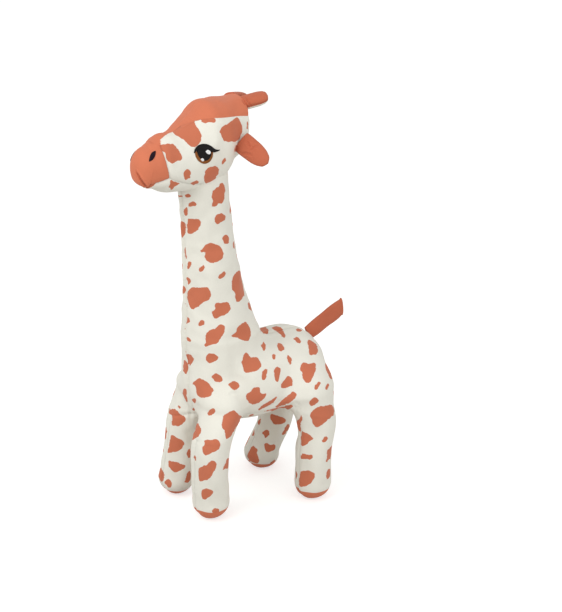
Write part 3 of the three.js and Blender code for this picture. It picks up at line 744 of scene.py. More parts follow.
pinch = (RIDGE_HEIGHT * bell(mouth_gap - RIDGE_PLACE, RIDGE_WIDTH)
         - VALLEY_DEPTH * bell(mouth_gap, VALLEY_WIDTH))
moves += (thin * pinch)[:, None] * normals
for pixel, puff, reach in PUFFS_PX:
    gap = np.linalg.norm(head_points - on_head([pixel]), axis=1)
    moves += (puff * bell(gap, reach))[:, None] * normals
at_back = np.clip((head_points[:, 1] - 18) / 14, 0, 1)
moves[:, 1] += BACK_LEAN * at_back * np.clip(head_points[:, 2] - 50, -14, 16)
head_rest, head_moves = head_points, push + moves
head_points = head_rest + head_moves
head_normals = normals_of(head_points, head_triangles)
# This seam distance, with the mouth's valley in it, sets the cloth's painted shade there.
head_seam = np.minimum.reduce([np.abs(muzzle_gap), np.abs(crown_gap) + 0.5, np.abs(chin_gap),
                               back_gap, mouth_gap - 0.3 + 1.2 * (1 - thin)])
head_in_toy = from_head(head_points)
print("head's points moved by up to", round(float(np.linalg.norm(moves, axis=1).max()), 2), "mm")

# %% [markdown]
# The cloth is printed with spots of no set shape: large blots with a nick or a tail, and small
# slanted drops between them. Their outlines were read from the photograph, in its pixels,
# part by part. A seam cuts through those that it meets.

# %% Outlines of the spots in the photograph, in pixels
HEAD_SPOTS_PX = [
    [(168, 124), (172, 131.5), (175, 135), (181, 138), (184, 140), (188, 144), (191, 147),
     (194, 147.5), (197, 146), (199.5, 143.5), (201, 141), (201.5, 134.5), (199, 130), (196, 126),
     (194.5, 121.5), (194, 112), (170, 118)],
    [(200, 116), (201, 121), (204, 123), (206, 123.5), (208, 122), (211, 122), (214, 123.5),
     (216, 121.5), (215, 117)],
    [(237, 117), (239, 118.5), (241, 124), (243, 130), (242.5, 135), (240, 138.5), (237, 141),
     (234, 142), (231, 141.5), (227, 142), (224, 141), (222, 137), (220, 133), (219.5, 131.5),
     (221.5, 127.5), (224, 125.5), (228, 124), (232, 120.5), (235, 118)],
    [(247.5, 121), (248.5, 126), (247.5, 130), (246.5, 127), (247, 122)],
    [(239.5, 143.5), (239, 147), (236.5, 151.5), (234.5, 152.5), (234, 149.5), (235, 146.5),
     (237, 144.5)],
    [(225.5, 157.5), (226, 160), (224, 163.5), (221.5, 165), (221.5, 162.5), (223, 159.5)],
    [(216, 165.5), (218.5, 168), (219, 172.5), (216.5, 176.5), (216, 178), (214, 181.5),
     (211, 184), (208.5, 184.5), (205, 183), (204, 180), (204.5, 176), (205.5, 170.5),
     (208.5, 167.5), (212, 166.5)],
    [(187.5, 169), (190.5, 170.5), (191, 173.5), (190, 176), (190.5, 177.5), (187.5, 179),
     (185, 180), (183.5, 176.5), (184, 171.5), (186, 169.5)],
    [(190, 183.5), (193, 181.5), (197, 180.5), (199, 182), (198, 184), (194.5, 184.8),
     (191.5, 184.3)],
    [(158, 144.5), (163.5, 144.5), (171, 143.5), (174.5, 145), (178, 149), (181.5, 155),
     (182, 158), (180.5, 160.5), (177, 160.5), (173, 163.5), (169, 162.5), (166.5, 160),
     (166.3, 156.5), (164.6, 152.5), (162.8, 151.3), (160, 151.5), (158, 150)],
    [(170, 179), (175, 182), (181, 183.5), (178, 184.5), (172, 189), (170.5, 190), (171, 188),
     (168, 187.5), (170, 184.5)],
]
NECK_SPOTS_PX = [
    [(184.5, 194.5), (188, 193.7), (191, 194.5), (191, 197), (188, 197.8), (185.5, 196.8)],
    [(190.5, 202), (196, 201.5), (196.5, 205.5), (194.5, 206.5), (190, 207), (188, 206),
     (188.5, 203.5)],
    [(188, 206.5), (188, 212), (186.5, 216), (185, 216.5), (183.5, 213), (184.5, 209), (186, 207)],
    [(187.7, 219), (190, 218.5), (196, 219), (199, 218.7), (201, 221.5), (200, 226), (197, 231),
     (192.5, 233.5), (188.5, 234), (187, 232.5), (187.5, 226)],
    [(180, 221.5), (184, 221.5), (185.8, 224.5), (185.8, 232), (184, 235), (182, 239), (180, 236)],
    [(221, 181.5), (224, 184), (224.5, 187.5), (225.3, 190), (224.5, 194), (224.5, 199),
     (222, 203), (221, 204), (218, 203.5), (216.5, 206), (213, 207), (211.5, 206.5), (213, 202.5),
     (212.5, 199), (211, 196.5), (212.5, 194), (212, 191.5), (215, 189.5), (216.5, 187),
     (219, 187)],
    [(217.5, 213.5), (222, 213.3), (226.5, 216.5), (225, 220), (220.5, 222.5), (217.5, 224.5),
     (215, 222.5), (214.3, 217.5)],
    [(225.5, 234.5), (229, 236.5), (230.3, 240), (228.5, 243.5), (226, 244.5), (223.5, 243.5),
     (223.5, 240.5), (221.5, 239.5), (222, 236.8)],
    [(234, 240), (236, 246), (236, 250), (233.5, 248), (232.5, 244)],
    [(211, 242.7), (219, 245), (222, 249), (224, 253), (223, 257), (221.5, 260), (216.5, 262),
     (212.5, 263.3), (208, 262), (205, 258.5), (204.5, 254.5), (206.5, 251.8), (203.5, 252),
     (200.5, 252), (200, 251), (202.5, 249.5), (203.5, 247), (206.5, 244)],
    [(185, 247.5), (186, 248), (186, 253), (187, 259), (186, 259.5), (184.7, 254)],
    [(187.5, 261.5), (190.5, 261.5), (192, 262.5), (190.5, 266), (188.8, 269.5), (187.5, 269)],
    [(181.5, 262), (183, 265), (182.3, 270), (181, 268)],
    [(203.5, 264.7), (205, 267), (203.5, 270.5), (200.5, 272.5), (198, 270.5), (199.5, 267.5),
     (202, 266)],
    [(225.5, 271), (226, 273), (224, 277), (221, 279), (218.5, 278.5), (217.7, 277), (220.5, 274),
     (223, 271.7)],
    [(186.5, 276.5), (189, 278), (191.5, 281), (190, 283.5), (188.5, 285), (187.5, 281.5),
     (186, 279)],
    [(183.5, 284.7), (186, 288), (185.5, 292), (183, 294), (181, 293), (182, 288.5)],
    [(191.5, 287.5), (199, 287.5), (208, 287), (209.5, 290.5), (212, 294), (209.5, 299),
     (207, 301), (203.5, 302), (197.5, 307), (192.5, 309.5), (190.5, 308.5), (188.5, 303.5),
     (187.3, 298), (187.3, 292), (189.5, 289.5)],
    [(239, 270), (241.5, 272.5), (244.5, 280), (246.5, 288), (247, 291.5), (243, 297),
     (240, 301.5), (236.5, 302.5), (235.3, 299), (235.3, 293.5), (231.5, 288.5), (232.3, 277),
     (236, 272.5)],
    [(214.5, 304), (217, 302.5), (221.5, 303), (225.5, 301.5), (229, 303), (231, 307.5),
     (229.5, 311.5), (224, 315.5), (220, 316.5), (216, 319), (213.5, 317.5), (211.5, 312),
     (214.5, 309.5), (215.3, 307)],
    [(185, 303), (187, 302.3), (187.3, 306.5), (186.3, 309.5), (184.7, 308), (184.2, 305)],
    [(248, 301.5), (252.5, 305), (256, 311), (251, 311), (248.5, 308.5), (247.8, 305)],
]
TORSO_SPOTS_PX = [
    [(187.5, 316.5), (190, 320), (190.3, 322), (188.5, 323), (186, 324), (186, 330), (185, 332.5),
     (184.5, 329), (185.3, 325), (187, 322), (187, 318)],
    [(187, 336), (190.5, 339), (191, 342), (188, 341), (186.5, 339)],
    [(186.3, 349.5), (187, 353.5), (191, 355), (194, 358), (193, 362), (190.5, 365.5), (189, 366),
     (188.5, 362), (186.5, 357.5), (185.7, 352)],
    [(184.3, 359), (187.5, 363.5), (188.5, 368), (187, 373), (185.5, 374.7), (183, 371),
     (183.5, 364)],
    [(202, 319.5), (205, 321.5), (203.5, 325), (200, 326.5), (197.8, 326), (198.5, 323),
     (200, 320.5)],
    [(220.5, 323.5), (225, 326), (225.3, 331), (222, 336), (219, 341), (216, 344.5), (213, 344),
     (210, 345), (206.5, 347), (204, 345.5), (206, 342), (205.3, 336.5), (207, 332.5),
     (210, 330), (213, 328.5), (215, 329), (218, 326)],
    [(245.5, 321.7), (248, 324), (250.3, 329), (251, 333), (250, 338), (248, 341.3),
     (242, 340.5), (239.5, 339), (236.5, 337), (230.5, 337), (233, 334.5), (236.5, 332),
     (236.2, 328.5), (239, 325.5), (243, 323)],
    [(259, 320), (262, 323.5), (266, 327), (268.8, 330), (268, 333.5), (265, 335), (262, 333.5),
     (260, 329), (259.5, 325)],
    [(268, 325), (277, 326), (281.5, 327.5), (284, 332), (286, 337.5), (284, 338.2),
     (282.5, 337), (280, 334), (275.5, 330.5), (270.5, 327.5)],
    [(295.5, 329.5), (298, 328), (302.5, 328.3), (303.5, 330), (299, 332), (296.5, 331.2)],
    [(297.5, 336.5), (300, 339.5), (301, 343.3), (297.5, 343), (295, 340.5), (293.2, 339),
     (294.5, 337.7)],
    [(264.5, 340.5), (266, 344), (265.3, 350), (263.5, 352), (262, 348), (260, 345.5),
     (262.5, 343.5)],
    [(278, 339.5), (281, 342.5), (285, 349.5), (283, 350), (281.5, 351.2), (280, 350.8),
     (278.3, 350.5), (277, 345)],
    [(308, 339.5), (312, 339), (315.5, 342), (317.5, 347), (318, 352), (316, 354.5),
     (312.5, 355), (309, 355), (309, 350), (307.3, 343)],
    [(208, 353.5), (212.5, 353), (219, 357), (217, 360.5), (212, 362.5), (208.5, 363.5),
     (206, 360.5), (205.5, 357)],
    [(273, 353.3), (276, 354), (275, 359), (273.5, 360), (271.7, 356.5)],
    [(287.5, 354), (290, 356.5), (292.3, 358.5), (291, 364), (289.7, 365), (288.5, 361.5),
     (287, 359)],
    [(246.5, 352), (249, 355), (250, 358), (255.5, 356.7), (258.5, 358), (260, 361.5),
     (262, 366), (259.5, 369), (255.5, 371.5), (251, 372), (246.5, 373), (244, 371),
     (243, 366.5), (241.2, 362.5), (243, 358.5), (244, 354)],
    [(300, 368.5), (301, 364.5), (303.5, 362), (306, 363), (309.5, 364), (312.5, 362.7),
     (315.5, 362.5), (316, 370), (313, 377), (310, 383), (306.5, 383.7), (303.5, 380.5),
     (302, 376), (302.5, 372.5), (300.5, 371)],
    [(266.5, 368.5), (267.8, 370), (266.5, 376.5), (264.3, 380.5), (261, 379), (262, 374.5),
     (263, 370.5)],
    [(276, 366.5), (280.5, 367.5), (280.3, 372), (279, 380), (276.5, 382.5), (275, 380.5),
     (274.3, 375), (273.7, 370.5)],
    [(216, 373.3), (220, 375), (223, 378.5), (222, 381.5), (218.5, 382.5), (214.5, 381.5),
     (213.8, 378.5), (211, 377), (213.5, 374.3)],
    [(233.5, 380.7), (237.5, 382), (239.8, 385.5), (238, 389), (234.5, 390.3), (231, 389),
     (230, 386), (228, 384.7), (230, 382.5)],
    [(199, 378), (205, 380), (210.5, 385), (213.5, 390), (212, 393.5), (211.5, 396), (207, 397),
     (203, 398), (198.5, 396.5), (196, 392.5), (196, 388.5), (195, 385), (192.5, 385),
     (192.5, 383), (194.5, 381.5), (196.5, 379)],
    [(288.5, 375), (291.5, 378), (293, 382), (292, 386), (290, 386.5), (286, 388),
     (280.5, 388.3), (281, 385), (284, 380)],
    [(184, 388.5), (186.5, 388), (186.8, 395), (187.8, 403.5), (185, 402), (183, 397.5),
     (182.5, 392)],
    [(193.5, 398.5), (196, 398.2), (196, 402), (193, 405.7), (190.8, 403), (191.5, 400)],
    [(253, 388), (258, 386.5), (260, 387.5), (260, 392.5), (262.5, 394.5), (265.3, 392.5),
     (267, 394.5), (263, 400), (258, 403.3), (252.5, 405), (248.5, 402.5), (245.5, 397),
     (247, 393.5), (250.5, 392)],
    [(277.5, 395), (276.5, 399), (273, 403), (268, 406), (262, 409), (258.5, 410.5),
     (258.5, 409), (262, 405.5), (267, 402.5), (272, 399.5)],
    [(294, 391), (296.5, 394), (296, 397.5), (292, 401.5), (286, 404.5), (280, 406.5),
     (274.5, 407.7), (279, 403), (284, 398), (289, 395), (291, 392.5)],
    [(291, 404.5), (293.5, 406), (291.5, 408.5), (284, 410.5), (272, 411), (262, 411.5),
     (270, 409.5), (276, 408), (283, 406.3)],
    [(315, 397), (319, 399.5), (318, 402.5), (314, 405.5), (311, 406), (308.7, 403.5),
     (310, 400.5)],
    [(317.5, 382), (321, 382), (319.5, 385.5), (317, 389.5), (314, 390), (314.5, 386.5)],
    [(328.7, 382.3), (329, 386), (327, 390.5), (325, 389), (326, 385.5)],
    [(325.7, 361.5), (328, 366), (331, 373), (332.5, 379.5), (330, 379), (327.5, 372.5),
     (325.3, 367)],
    [(255.5, 414), (250, 417.5), (248, 416.5), (252, 414)],
]
LEG_SPOTS_PX = [
    [(211, 408.5), (215, 408.3), (216, 411), (213, 414.5), (209.5, 416), (206.7, 414.5),
     (209, 411)],
    [(223, 415.5), (229, 412), (233.5, 410.2), (237, 412.5), (239, 415), (243, 416.5),
     (241.5, 420), (238, 424.5), (233.5, 432), (230, 437.5), (226, 439), (225, 437),
     (225, 432), (222, 427), (221.5, 424.5), (223, 420)],
    [(191.5, 422), (196, 421.8), (199.5, 425), (201.5, 430.5), (199.5, 435.5), (196, 438),
     (192.5, 440.5), (191, 439), (188, 433), (189, 427)],
    [(204, 440), (208, 439.5), (211.5, 440.5), (214.5, 438.8), (218, 439.5), (221, 444.5),
     (219.5, 448.5), (216, 451.5), (211, 453), (207, 455.7), (204, 454.5), (202.5, 450),
     (201.8, 447.5), (204.8, 445), (204.3, 442)],
    [(194.7, 454.5), (196.8, 457.5), (195.7, 461), (193.3, 461), (193, 457.5)],
    [(211.5, 460), (215.5, 461.5), (217, 464), (216.5, 466.5), (214, 471.5), (211, 476.5),
     (208, 480), (203.5, 480), (201, 482), (198, 481.5), (199.3, 478), (198, 472),
     (199.3, 467.5), (202, 467), (204.5, 464.8), (206.5, 465.5), (209.5, 462.5)],
    [(228.5, 457), (231, 463), (231, 471), (227.5, 468.5), (225, 468.8), (221.7, 470.7),
     (223.5, 467.5), (225.5, 463), (226.5, 460)],
    [(203, 489.5), (206.5, 488.3), (210, 489.5), (214, 491), (211.5, 495), (207.5, 498.5),
     (205, 500), (202, 498), (201, 492.5)],
    [(212, 513), (212.5, 509), (216, 508), (219, 509), (219, 513)],
    [(176, 381), (175.8, 386), (174.5, 393.5), (172, 398), (170, 396), (171, 389), (173, 384)],
    [(178.3, 403.5), (180, 406), (181, 410), (179.5, 409), (178, 406)],
    [(169.5, 407), (170.5, 410), (172.5, 408.5), (176.5, 410), (180, 414), (185, 416.5),
     (186, 419.5), (183.5, 423), (180.5, 425.7), (176, 426), (171.5, 425.5), (172, 420),
     (172.5, 416), (171, 414), (168.7, 414), (169, 410)],
    [(165.7, 426), (167, 430), (166, 439.5), (164, 439.5), (163.5, 432)],
    [(171, 434), (177, 437.5), (183, 441), (184.5, 443.5), (182.5, 447.5), (178.5, 451.5),
     (173, 452), (168.5, 453.5), (167.3, 452.5), (169, 446), (170, 439)],
    [(162.3, 445), (164, 451), (163.8, 452), (161.5, 451.5)],
    [(190.5, 447.5), (191, 457.5), (188.5, 458.7), (187, 455.5), (186, 452.5), (188, 450.5)],
    [(169, 460), (171, 461.5), (177, 462), (182, 464.3), (185.5, 465), (185.5, 467.5),
     (181, 470.5), (177, 472), (173.5, 472.5), (171, 469.5), (168, 466), (168.3, 462.5)],
    [(160.5, 467), (163.5, 471.5), (164.8, 476.5), (163, 481.5), (160.5, 482), (158, 476),
     (158.5, 471)],
    [(190, 470), (191, 474), (190.5, 479.5), (188, 483), (184, 482.5), (185.5, 479),
     (186.8, 473.5)],
    [(167, 479), (170.5, 479.5), (171.8, 484.5), (171.5, 487), (168.5, 488.3), (166, 484.5),
     (164.3, 482.5)],
    [(332, 404), (334.5, 410), (333.5, 415.5), (329, 419), (323.5, 423.5), (319, 427),
     (316, 427.5), (313.5, 425), (312, 421), (309.7, 415), (312, 411), (318, 406.5), (325, 406)],
    [(301, 414), (303, 419.5), (300.8, 422.5), (300.5, 428), (301, 433), (299.5, 434),
     (297, 430), (297, 420), (299.5, 419.5)],
    [(301.5, 430.7), (304, 432.5), (309.5, 434), (312, 437), (313.8, 438.5), (309, 441.5),
     (307.5, 444.5), (303, 446), (301, 447), (301, 440)],
    [(326.5, 436), (328.5, 438.5), (326, 441.5), (323, 443.2), (321.7, 440.5), (324, 437.5)],
    [(333.5, 444.5), (333.5, 450), (332, 459.5), (328.5, 459), (327.5, 462), (325.7, 462),
     (327, 457), (326.8, 450.5), (329, 449), (330, 447)],
    [(301, 456), (302.5, 453), (304.5, 454.3), (310.5, 455), (312.5, 454.5), (313, 458),
     (311.5, 459.5), (305, 459), (300.3, 459.3)],
    [(329.7, 468), (332, 471), (332, 475.5), (329.5, 477.5), (327.5, 479.5), (326, 477),
     (326.3, 471.5)],
    [(301, 471), (308.5, 470.3), (311.5, 472), (315.5, 473), (314.5, 478), (310.5, 484),
     (305, 486.5), (298.5, 487), (299, 480), (300, 474)],
    [(296, 470.5), (297.5, 475), (296.5, 479), (295, 478.5), (295.5, 473)],
    [(271.5, 412.5), (274, 415), (279, 415.7), (284, 418), (286.3, 420), (284.5, 423),
     (280, 424.5), (276.5, 424.8), (273.5, 424), (271.5, 420), (269.5, 417)],
    [(258.5, 419), (261.5, 419), (260, 423), (258.7, 427), (257.5, 423)],
    [(265.5, 429.5), (269, 430.3), (269.7, 435), (267, 437), (265.3, 438.5), (263.7, 435.5),
     (261.7, 433)],
    [(290, 424), (289, 428.5), (285, 434), (283, 435.3), (281.7, 434), (284.5, 429),
     (286.5, 424.5)],
    [(254.5, 428.5), (254.5, 432), (254, 436), (251.5, 436), (252.5, 432)],
    [(264.7, 443), (267.5, 443), (270, 445.3), (273.5, 444), (276, 445.5), (274.5, 449.5),
     (271.5, 451.5), (267, 452.5), (265, 450), (264, 446)],
    [(285, 439.8), (284.5, 442.5), (281.5, 444.3), (282, 442.5)],
    [(252.5, 445), (255, 447), (258, 450), (256.5, 452.5), (258, 455), (258, 457.5),
     (259.3, 460.5), (258, 464), (254.5, 463.5), (250, 461), (247, 458.5), (248.3, 451.5)],
    [(276, 459), (274.5, 463), (269.7, 466.5), (269, 464.5), (272, 461)],
]
print(len(HEAD_SPOTS_PX) + len(NECK_SPOTS_PX) + len(TORSO_SPOTS_PX) + len(LEG_SPOTS_PX),
      "spots show in the photograph")

# %% [markdown]
# A spot is carried to the skin by its distance field: at each point of the skin, how far it is
# from the spot's edge, negative inside. The material later cuts that smooth field at zero, which
# gives a sharp edge that doesn't depend on the mesh. Where the camera sees the cloth, the distance
# is measured in the photograph. On the far side, seeded spots of the same shapes fill the cloth.

# %% Spots as distances on the skin
PX_MM = VIEW_REACH / FOCUS_PX
FARTHEST = 30.0
HIDDEN_PX = 99.0
SAME_PLACE_PX = 1.6
BALL_SHARE = 1.3
BALL_SPARE = 1.5
FIELD_REACH = 12.0
LARGE_SPOTS_PX = (12, 22)
LARGE_MARGIN = 8.5
LARGE_FACING = -0.12
SMALL_SPOTS_PX = (6, 11)
SMALL_MARGIN = 4.6
SMALL_FACING = -0.1
SMALL_SPACING_SHARE = 0.6
ROOM_SHARE = 0.48
LEAST_BETWEEN = 2.5
MOST_PLACES = 4000
BODY_SPACING = 21.0
HEAD_SPACING = 19.0


def rounded(outline):
    """A closed outline with each corner cut at a quarter and three quarters of its edges."""
    outline = np.array(outline, float)
    after = np.roll(outline, -1, axis=0)
    return np.stack([0.75 * outline + 0.25 * after, 0.25 * outline + 0.75 * after], 1).reshape(-1, 2)


def outline_distance(places, outline):
    """Distance of each place from a closed outline, negative inside: the least distance to an
    edge, and inside where a line to the right crosses the outline an odd number of times."""
    start, end = outline, np.roll(outline, -1, axis=0)
    edge = end - start
    off = places[:, None] - start
    share = np.clip((off * edge).sum(-1) / np.maximum((edge**2).sum(-1), 1e-9), 0, 1)
    gap = np.linalg.norm(off - share[..., None] * edge, axis=-1).min(1)
    spans = (start[:, 1] > places[:, 1:]) != (end[:, 1] > places[:, 1:])
    rise = np.where(np.abs(edge[:, 1]) < 1e-9, 1e-9, edge[:, 1])
    meets = start[:, 0] + (places[:, 1:] - start[:, 1]) / rise * edge[:, 0]
    inside = (spans & (places[:, :1] < meets)).sum(1) % 2 == 1
    return np.where(inside, -gap, gap)


def facing(points, normals):
    """How squarely each point faces the camera: the cosine of the angle between its normal and
    the line to the camera."""
    to_camera = camera_place - points
    return (normals * to_camera).sum(1) / np.linalg.norm(to_camera, axis=1)


def photographed(points, normals, outlines):
    """Distance from the spots of the photograph. Each spot belongs to the nearest cloth that
    faces the camera at its middle, and stays within a ball round it, so that it wraps over the
    edge of the form but doesn't reach what lies behind."""
    pixels, depth = seen(points)
    hidden = HIDDEN_PX * (facing(points, normals) <= 0)
    distance = np.full(len(points), FARTHEST)
    for outline in map(rounded, outlines):
        middle = outline.mean(0)
        gap = np.linalg.norm(pixels - middle, axis=1) + hidden
        near = np.flatnonzero(gap < gap.min() + SAME_PLACE_PX)
        centre = points[near[np.argmin(depth[near])]]
        reach = np.linalg.norm(outline - middle, axis=1).max() * PX_MM * BALL_SHARE + BALL_SPARE
        apart = np.linalg.norm(points - centre, axis=1)
        close = np.flatnonzero(apart < reach + FIELD_REACH)
        from_edge = outline_distance(pixels[close], outline) * PX_MM
        distance[close] = np.minimum(distance[close], np.maximum(from_edge, apart[close] - reach))
    return distance


def scattered(points, normals, distance, shapes, spacing, margin, seed, allowed):
    """More spots where allowed: seeded places, each at least a spacing from the others and a
    margin from the spots that are there, with a shape of the photograph turned at random and
    made smaller where its room is small."""
    rng = np.random.default_rng(seed)
    places = []
    for index in rng.permutation(np.flatnonzero(allowed))[:MOST_PLACES]:
        place = points[index]
        if distance[index] < margin:
            continue
        if places and np.linalg.norm(points[places] - place, axis=1).min() < spacing:
            continue
        places.append(index)
    distance = distance.copy()
    for index in places:
        shape = rounded(shapes[rng.integers(len(shapes))])
        shape = (shape - shape.mean(0)) * PX_MM
        room = min(distance[index] - LEAST_BETWEEN, ROOM_SHARE * spacing)
        size = np.linalg.norm(shape, axis=1).max()
        shape = shape * min(1.0, room / size)
        angle = rng.uniform(0, 2 * np.pi)
        side = np.cross(normals[index], [0.3, 0.2, 1.0])
        side /= np.linalg.norm(side)
        over = np.cross(normals[index], side)
        across = np.cos(angle) * side + np.sin(angle) * over
        along = np.cross(normals[index], across)
        off = points - points[index]
        apart = np.linalg.norm(off, axis=1)
        close = np.flatnonzero(apart < size + FIELD_REACH)
        flat = np.stack([off[close] @ across, off[close] @ along], 1)
        from_edge = outline_distance(flat, shape)
        bound = apart[close] - 1.2 * min(size, room) - 1
        distance[close] = np.minimum(distance[close], np.maximum(from_edge, bound))
    print("  scattered", len(places), "more spots")
    return distance


def spotted(points, normals, outlines, spacing, seed):
    """Photographed spots on what the camera sees and scattered ones on the rest: large shapes
    first, and small ones in the room that they leave."""
    distance = photographed(points, normals, outlines)
    turned_to = facing(points, normals)
    sizes = [np.ptp(np.array(outline), axis=0).max() for outline in outlines]
    large, small = ([outline for outline, size in zip(outlines, sizes) if least < size < most]
                    for least, most in (LARGE_SPOTS_PX, SMALL_SPOTS_PX))
    distance = scattered(points, normals, distance, large, spacing, LARGE_MARGIN, seed,
                         turned_to < LARGE_FACING)
    distance = scattered(points, normals, distance, small, SMALL_SPACING_SHARE * spacing,
                         SMALL_MARGIN, seed + 1, turned_to < SMALL_FACING)
    return distance + 0.35 * waves(points, 5.0, seed + 2)


skin_spots = spotted(skin_points, skin_normals, NECK_SPOTS_PX + TORSO_SPOTS_PX + LEG_SPOTS_PX,
                     BODY_SPACING, seed=40)
head_spots = spotted(head_in_toy, head_normals @ head_axes, HEAD_SPOTS_PX, HEAD_SPACING, seed=50)

# %% [markdown]
# A panel is cut from the skin along its seams. The cut goes through triangles where a field passes
# through zero: an edge that it crosses gets a new point there, and both sides get the same one, so
# no gap opens. Each panel is then given a back, one cloth thickness inside, and a rim.

# %% Cutting panels
ON_CUT = 0.03
CLOTH = 1.2
FAR_OFF = 9.0


def sides_of(triangles):
    """The three sides of every triangle, as pairs of points: all first sides, then the others."""
    return np.concatenate([triangles[:, [0, 1]], triangles[:, [1, 2]], triangles[:, [2, 0]]])


def parted(skin, field):
    """A skin in two: where the field is negative, and the rest. A skin is a dictionary of arrays,
    one row per point, and its triangles. A triangle with one side cut becomes two, and one with
    two sides cut becomes three. The new point on a side divides it as the field's values do."""
    values = field(skin["points"])
    triangles = skin["triangles"]
    values = np.where(np.abs(values) < ON_CUT, 0.0, values)
    sign = np.sign(values)
    edges, which = np.unique(np.sort(sides_of(triangles), axis=1), axis=0, return_inverse=True)
    which = which.reshape(3, -1).T
    crossed = sign[edges[:, 0]] * sign[edges[:, 1]] < 0
    count = len(values)
    number = np.full(len(edges), -1)
    number[crossed] = count + np.arange(crossed.sum())
    a, b = edges[crossed].T
    share = (values[a] / (values[a] - values[b]))[:, None]
    points = {}
    for key, rows in skin.items():
        if key != "triangles":
            table = rows.reshape(count, -1)
            new = (1 - share) * table[a] + share * table[b]
            points[key] = np.concatenate([table, new]).reshape(-1, *rows.shape[1:])
    middle = number[which]
    cuts = (middle >= 0).sum(1)
    once, twice = cuts == 1, cuts == 2

    def turned(chosen, first):
        """The corners of the chosen triangles and the new points on their sides, by column, each
        triangle turned so that the side with the given number comes first."""
        turn = (np.arange(3) + first[:, None]) % 3
        return (np.take_along_axis(triangles[chosen], turn, 1).T,
                np.take_along_axis(middle[chosen], turn, 1).T)

    (p, q, r), (m, _, _) = turned(once, np.argmax(middle[once] >= 0, axis=1))
    pieces = [triangles[cuts == 0], np.stack([p, m, r], 1), np.stack([m, q, r], 1)]
    (p, q, r), (m, _, n) = turned(twice, (np.argmax(middle[twice] < 0, axis=1) + 2) % 3)
    pieces += [np.stack([p, m, n], 1), np.stack([m, q, r], 1), np.stack([m, r, n], 1)]
    triangles = np.concatenate(pieces)
    all_values = np.concatenate([values, np.zeros(crossed.sum())])
    inside = all_values[triangles].sum(1) < 0
    return tuple(compact({**points, "triangles": triangles[choice]})
                 for choice in (inside, ~inside))


def compact(skin):
    """A skin without the points that none of its triangles use."""
    used, triangles = np.unique(skin["triangles"], return_inverse=True)
    kept = {key: rows[used] for key, rows in skin.items() if key != "triangles"}
    return {**kept, "triangles": triangles.reshape(-1, 3)}


def backed(skin, thickness):
    """A skin with its back, one thickness inside, and a rim between the two."""
    triangles, count = skin["triangles"], len(skin["points"])
    sides = sides_of(triangles)
    _, which, uses = np.unique(np.sort(sides, axis=1), axis=0, return_index=True, return_counts=True)
    rim = sides[which[uses == 1]]
    a, b = rim.T
    whole = {key: np.concatenate([rows, rows]) for key, rows in skin.items() if key != "triangles"}
    whole["points"] = np.concatenate([
        skin["points"], skin["points"] - thickness * skin["normals"]])
    whole["normals"] = np.concatenate([skin["normals"], -skin["normals"]])
    whole["triangles"] = np.concatenate([
        triangles, triangles[:, ::-1] + count, np.stack([b, a, a + count], 1),
        np.stack([b, a + count, b + count], 1)])
    return whole


def add_piece(name, skin, material, thickness=CLOTH, in_head=False):
    """A Blender object at the origin, whose mesh has the skin's place, normals and fields. A skin
    in the head's frame is carried to the toy's. Where the thickness is zero, it gets no back."""
    whole = backed(skin, thickness) if thickness else skin
    points, normals = whole["points"], whole["normals"]
    if in_head:
        points, normals = from_head(points), normals @ head_axes
    mesh = bpy.data.meshes.new(name)
    triangles = whole["triangles"].astype(np.int32)
    mesh.vertices.add(len(points))
    mesh.vertices.foreach_set("co", ((points + SHIFT) * MM).astype(np.float32).ravel())
    mesh.loops.add(triangles.size)
    mesh.loops.foreach_set("vertex_index", triangles.ravel())
    mesh.polygons.add(len(triangles))
    mesh.polygons.foreach_set("loop_start", np.arange(0, triangles.size, 3, dtype=np.int32))
    mesh.update(calc_edges=True)
    mesh.polygons.foreach_set("use_smooth", np.ones(len(triangles), bool))
    for key in ("spot", "seam"):
        if key in whole:
            field = mesh.attributes.new(key, "FLOAT", "POINT")
            field.data.foreach_set("value", whole[key].astype(np.float32))
    mesh.validate()
    mesh.normals_split_custom_set_from_vertices(normals.tolist())
    mesh.materials.append(material)
    piece = bpy.data.objects.new(name, mesh)
    bpy.context.collection.objects.link(piece)
    print(f"  {name}: {len(triangles)} triangles")
    return piece


# %% [markdown]
# The finishes come next. Knit has a fine grain of loops, about 0.7 mm across, that softens its
# shine, and a slight change of tone over the cloth. One node group makes both from a piece's own
# coordinates, and every cloth uses it with its own colour. It also darkens the cloth a little near
# seams, which is painted shade of their grooves.

# %% A shader group for knit
def wired(tree, made, inputs):
    """A node whose inputs get the given values, or links where the value is another's output."""
    for key, value in inputs.items():
        if isinstance(value, bpy.types.NodeSocket):
            tree.links.new(value, made.inputs[key])
        else:
            made.inputs[key].default_value = value
    return made


def node(tree, kind, inputs=None, **settings):
    """A new node of a kind in a node tree, with the given settings, then inputs."""
    made = tree.nodes.new(kind)
    for key, value in settings.items():
        setattr(made, key, value)
    return wired(tree, made, inputs or {})


def math_node(tree, operation, *inputs, **settings):
    """The output of a new math node with the given inputs."""
    made = node(tree, "ShaderNodeMath", dict(enumerate(inputs)), operation=operation, **settings)
    return made.outputs[0]


def ranged(tree, value, low, high, over=(0.0, 1.0), **settings):
    """A value of the range over, mapped to the range from low to high."""
    inputs = {"Value": value, "From Min": over[0], "From Max": over[1], "To Min": low,
              "To Max": high}
    return node(tree, "ShaderNodeMapRange", inputs, **settings).outputs["Result"]


def object_place(tree):
    """A piece's own coordinates."""
    return node(tree, "ShaderNodeTexCoord").outputs["Object"]


def noise(tree, scale, detail=2.0):
    """Smooth noise over a piece."""
    inputs = {"Vector": object_place(tree), "Scale": scale, "Detail": detail}
    return node(tree, "ShaderNodeTexNoise", inputs).outputs["Fac"]


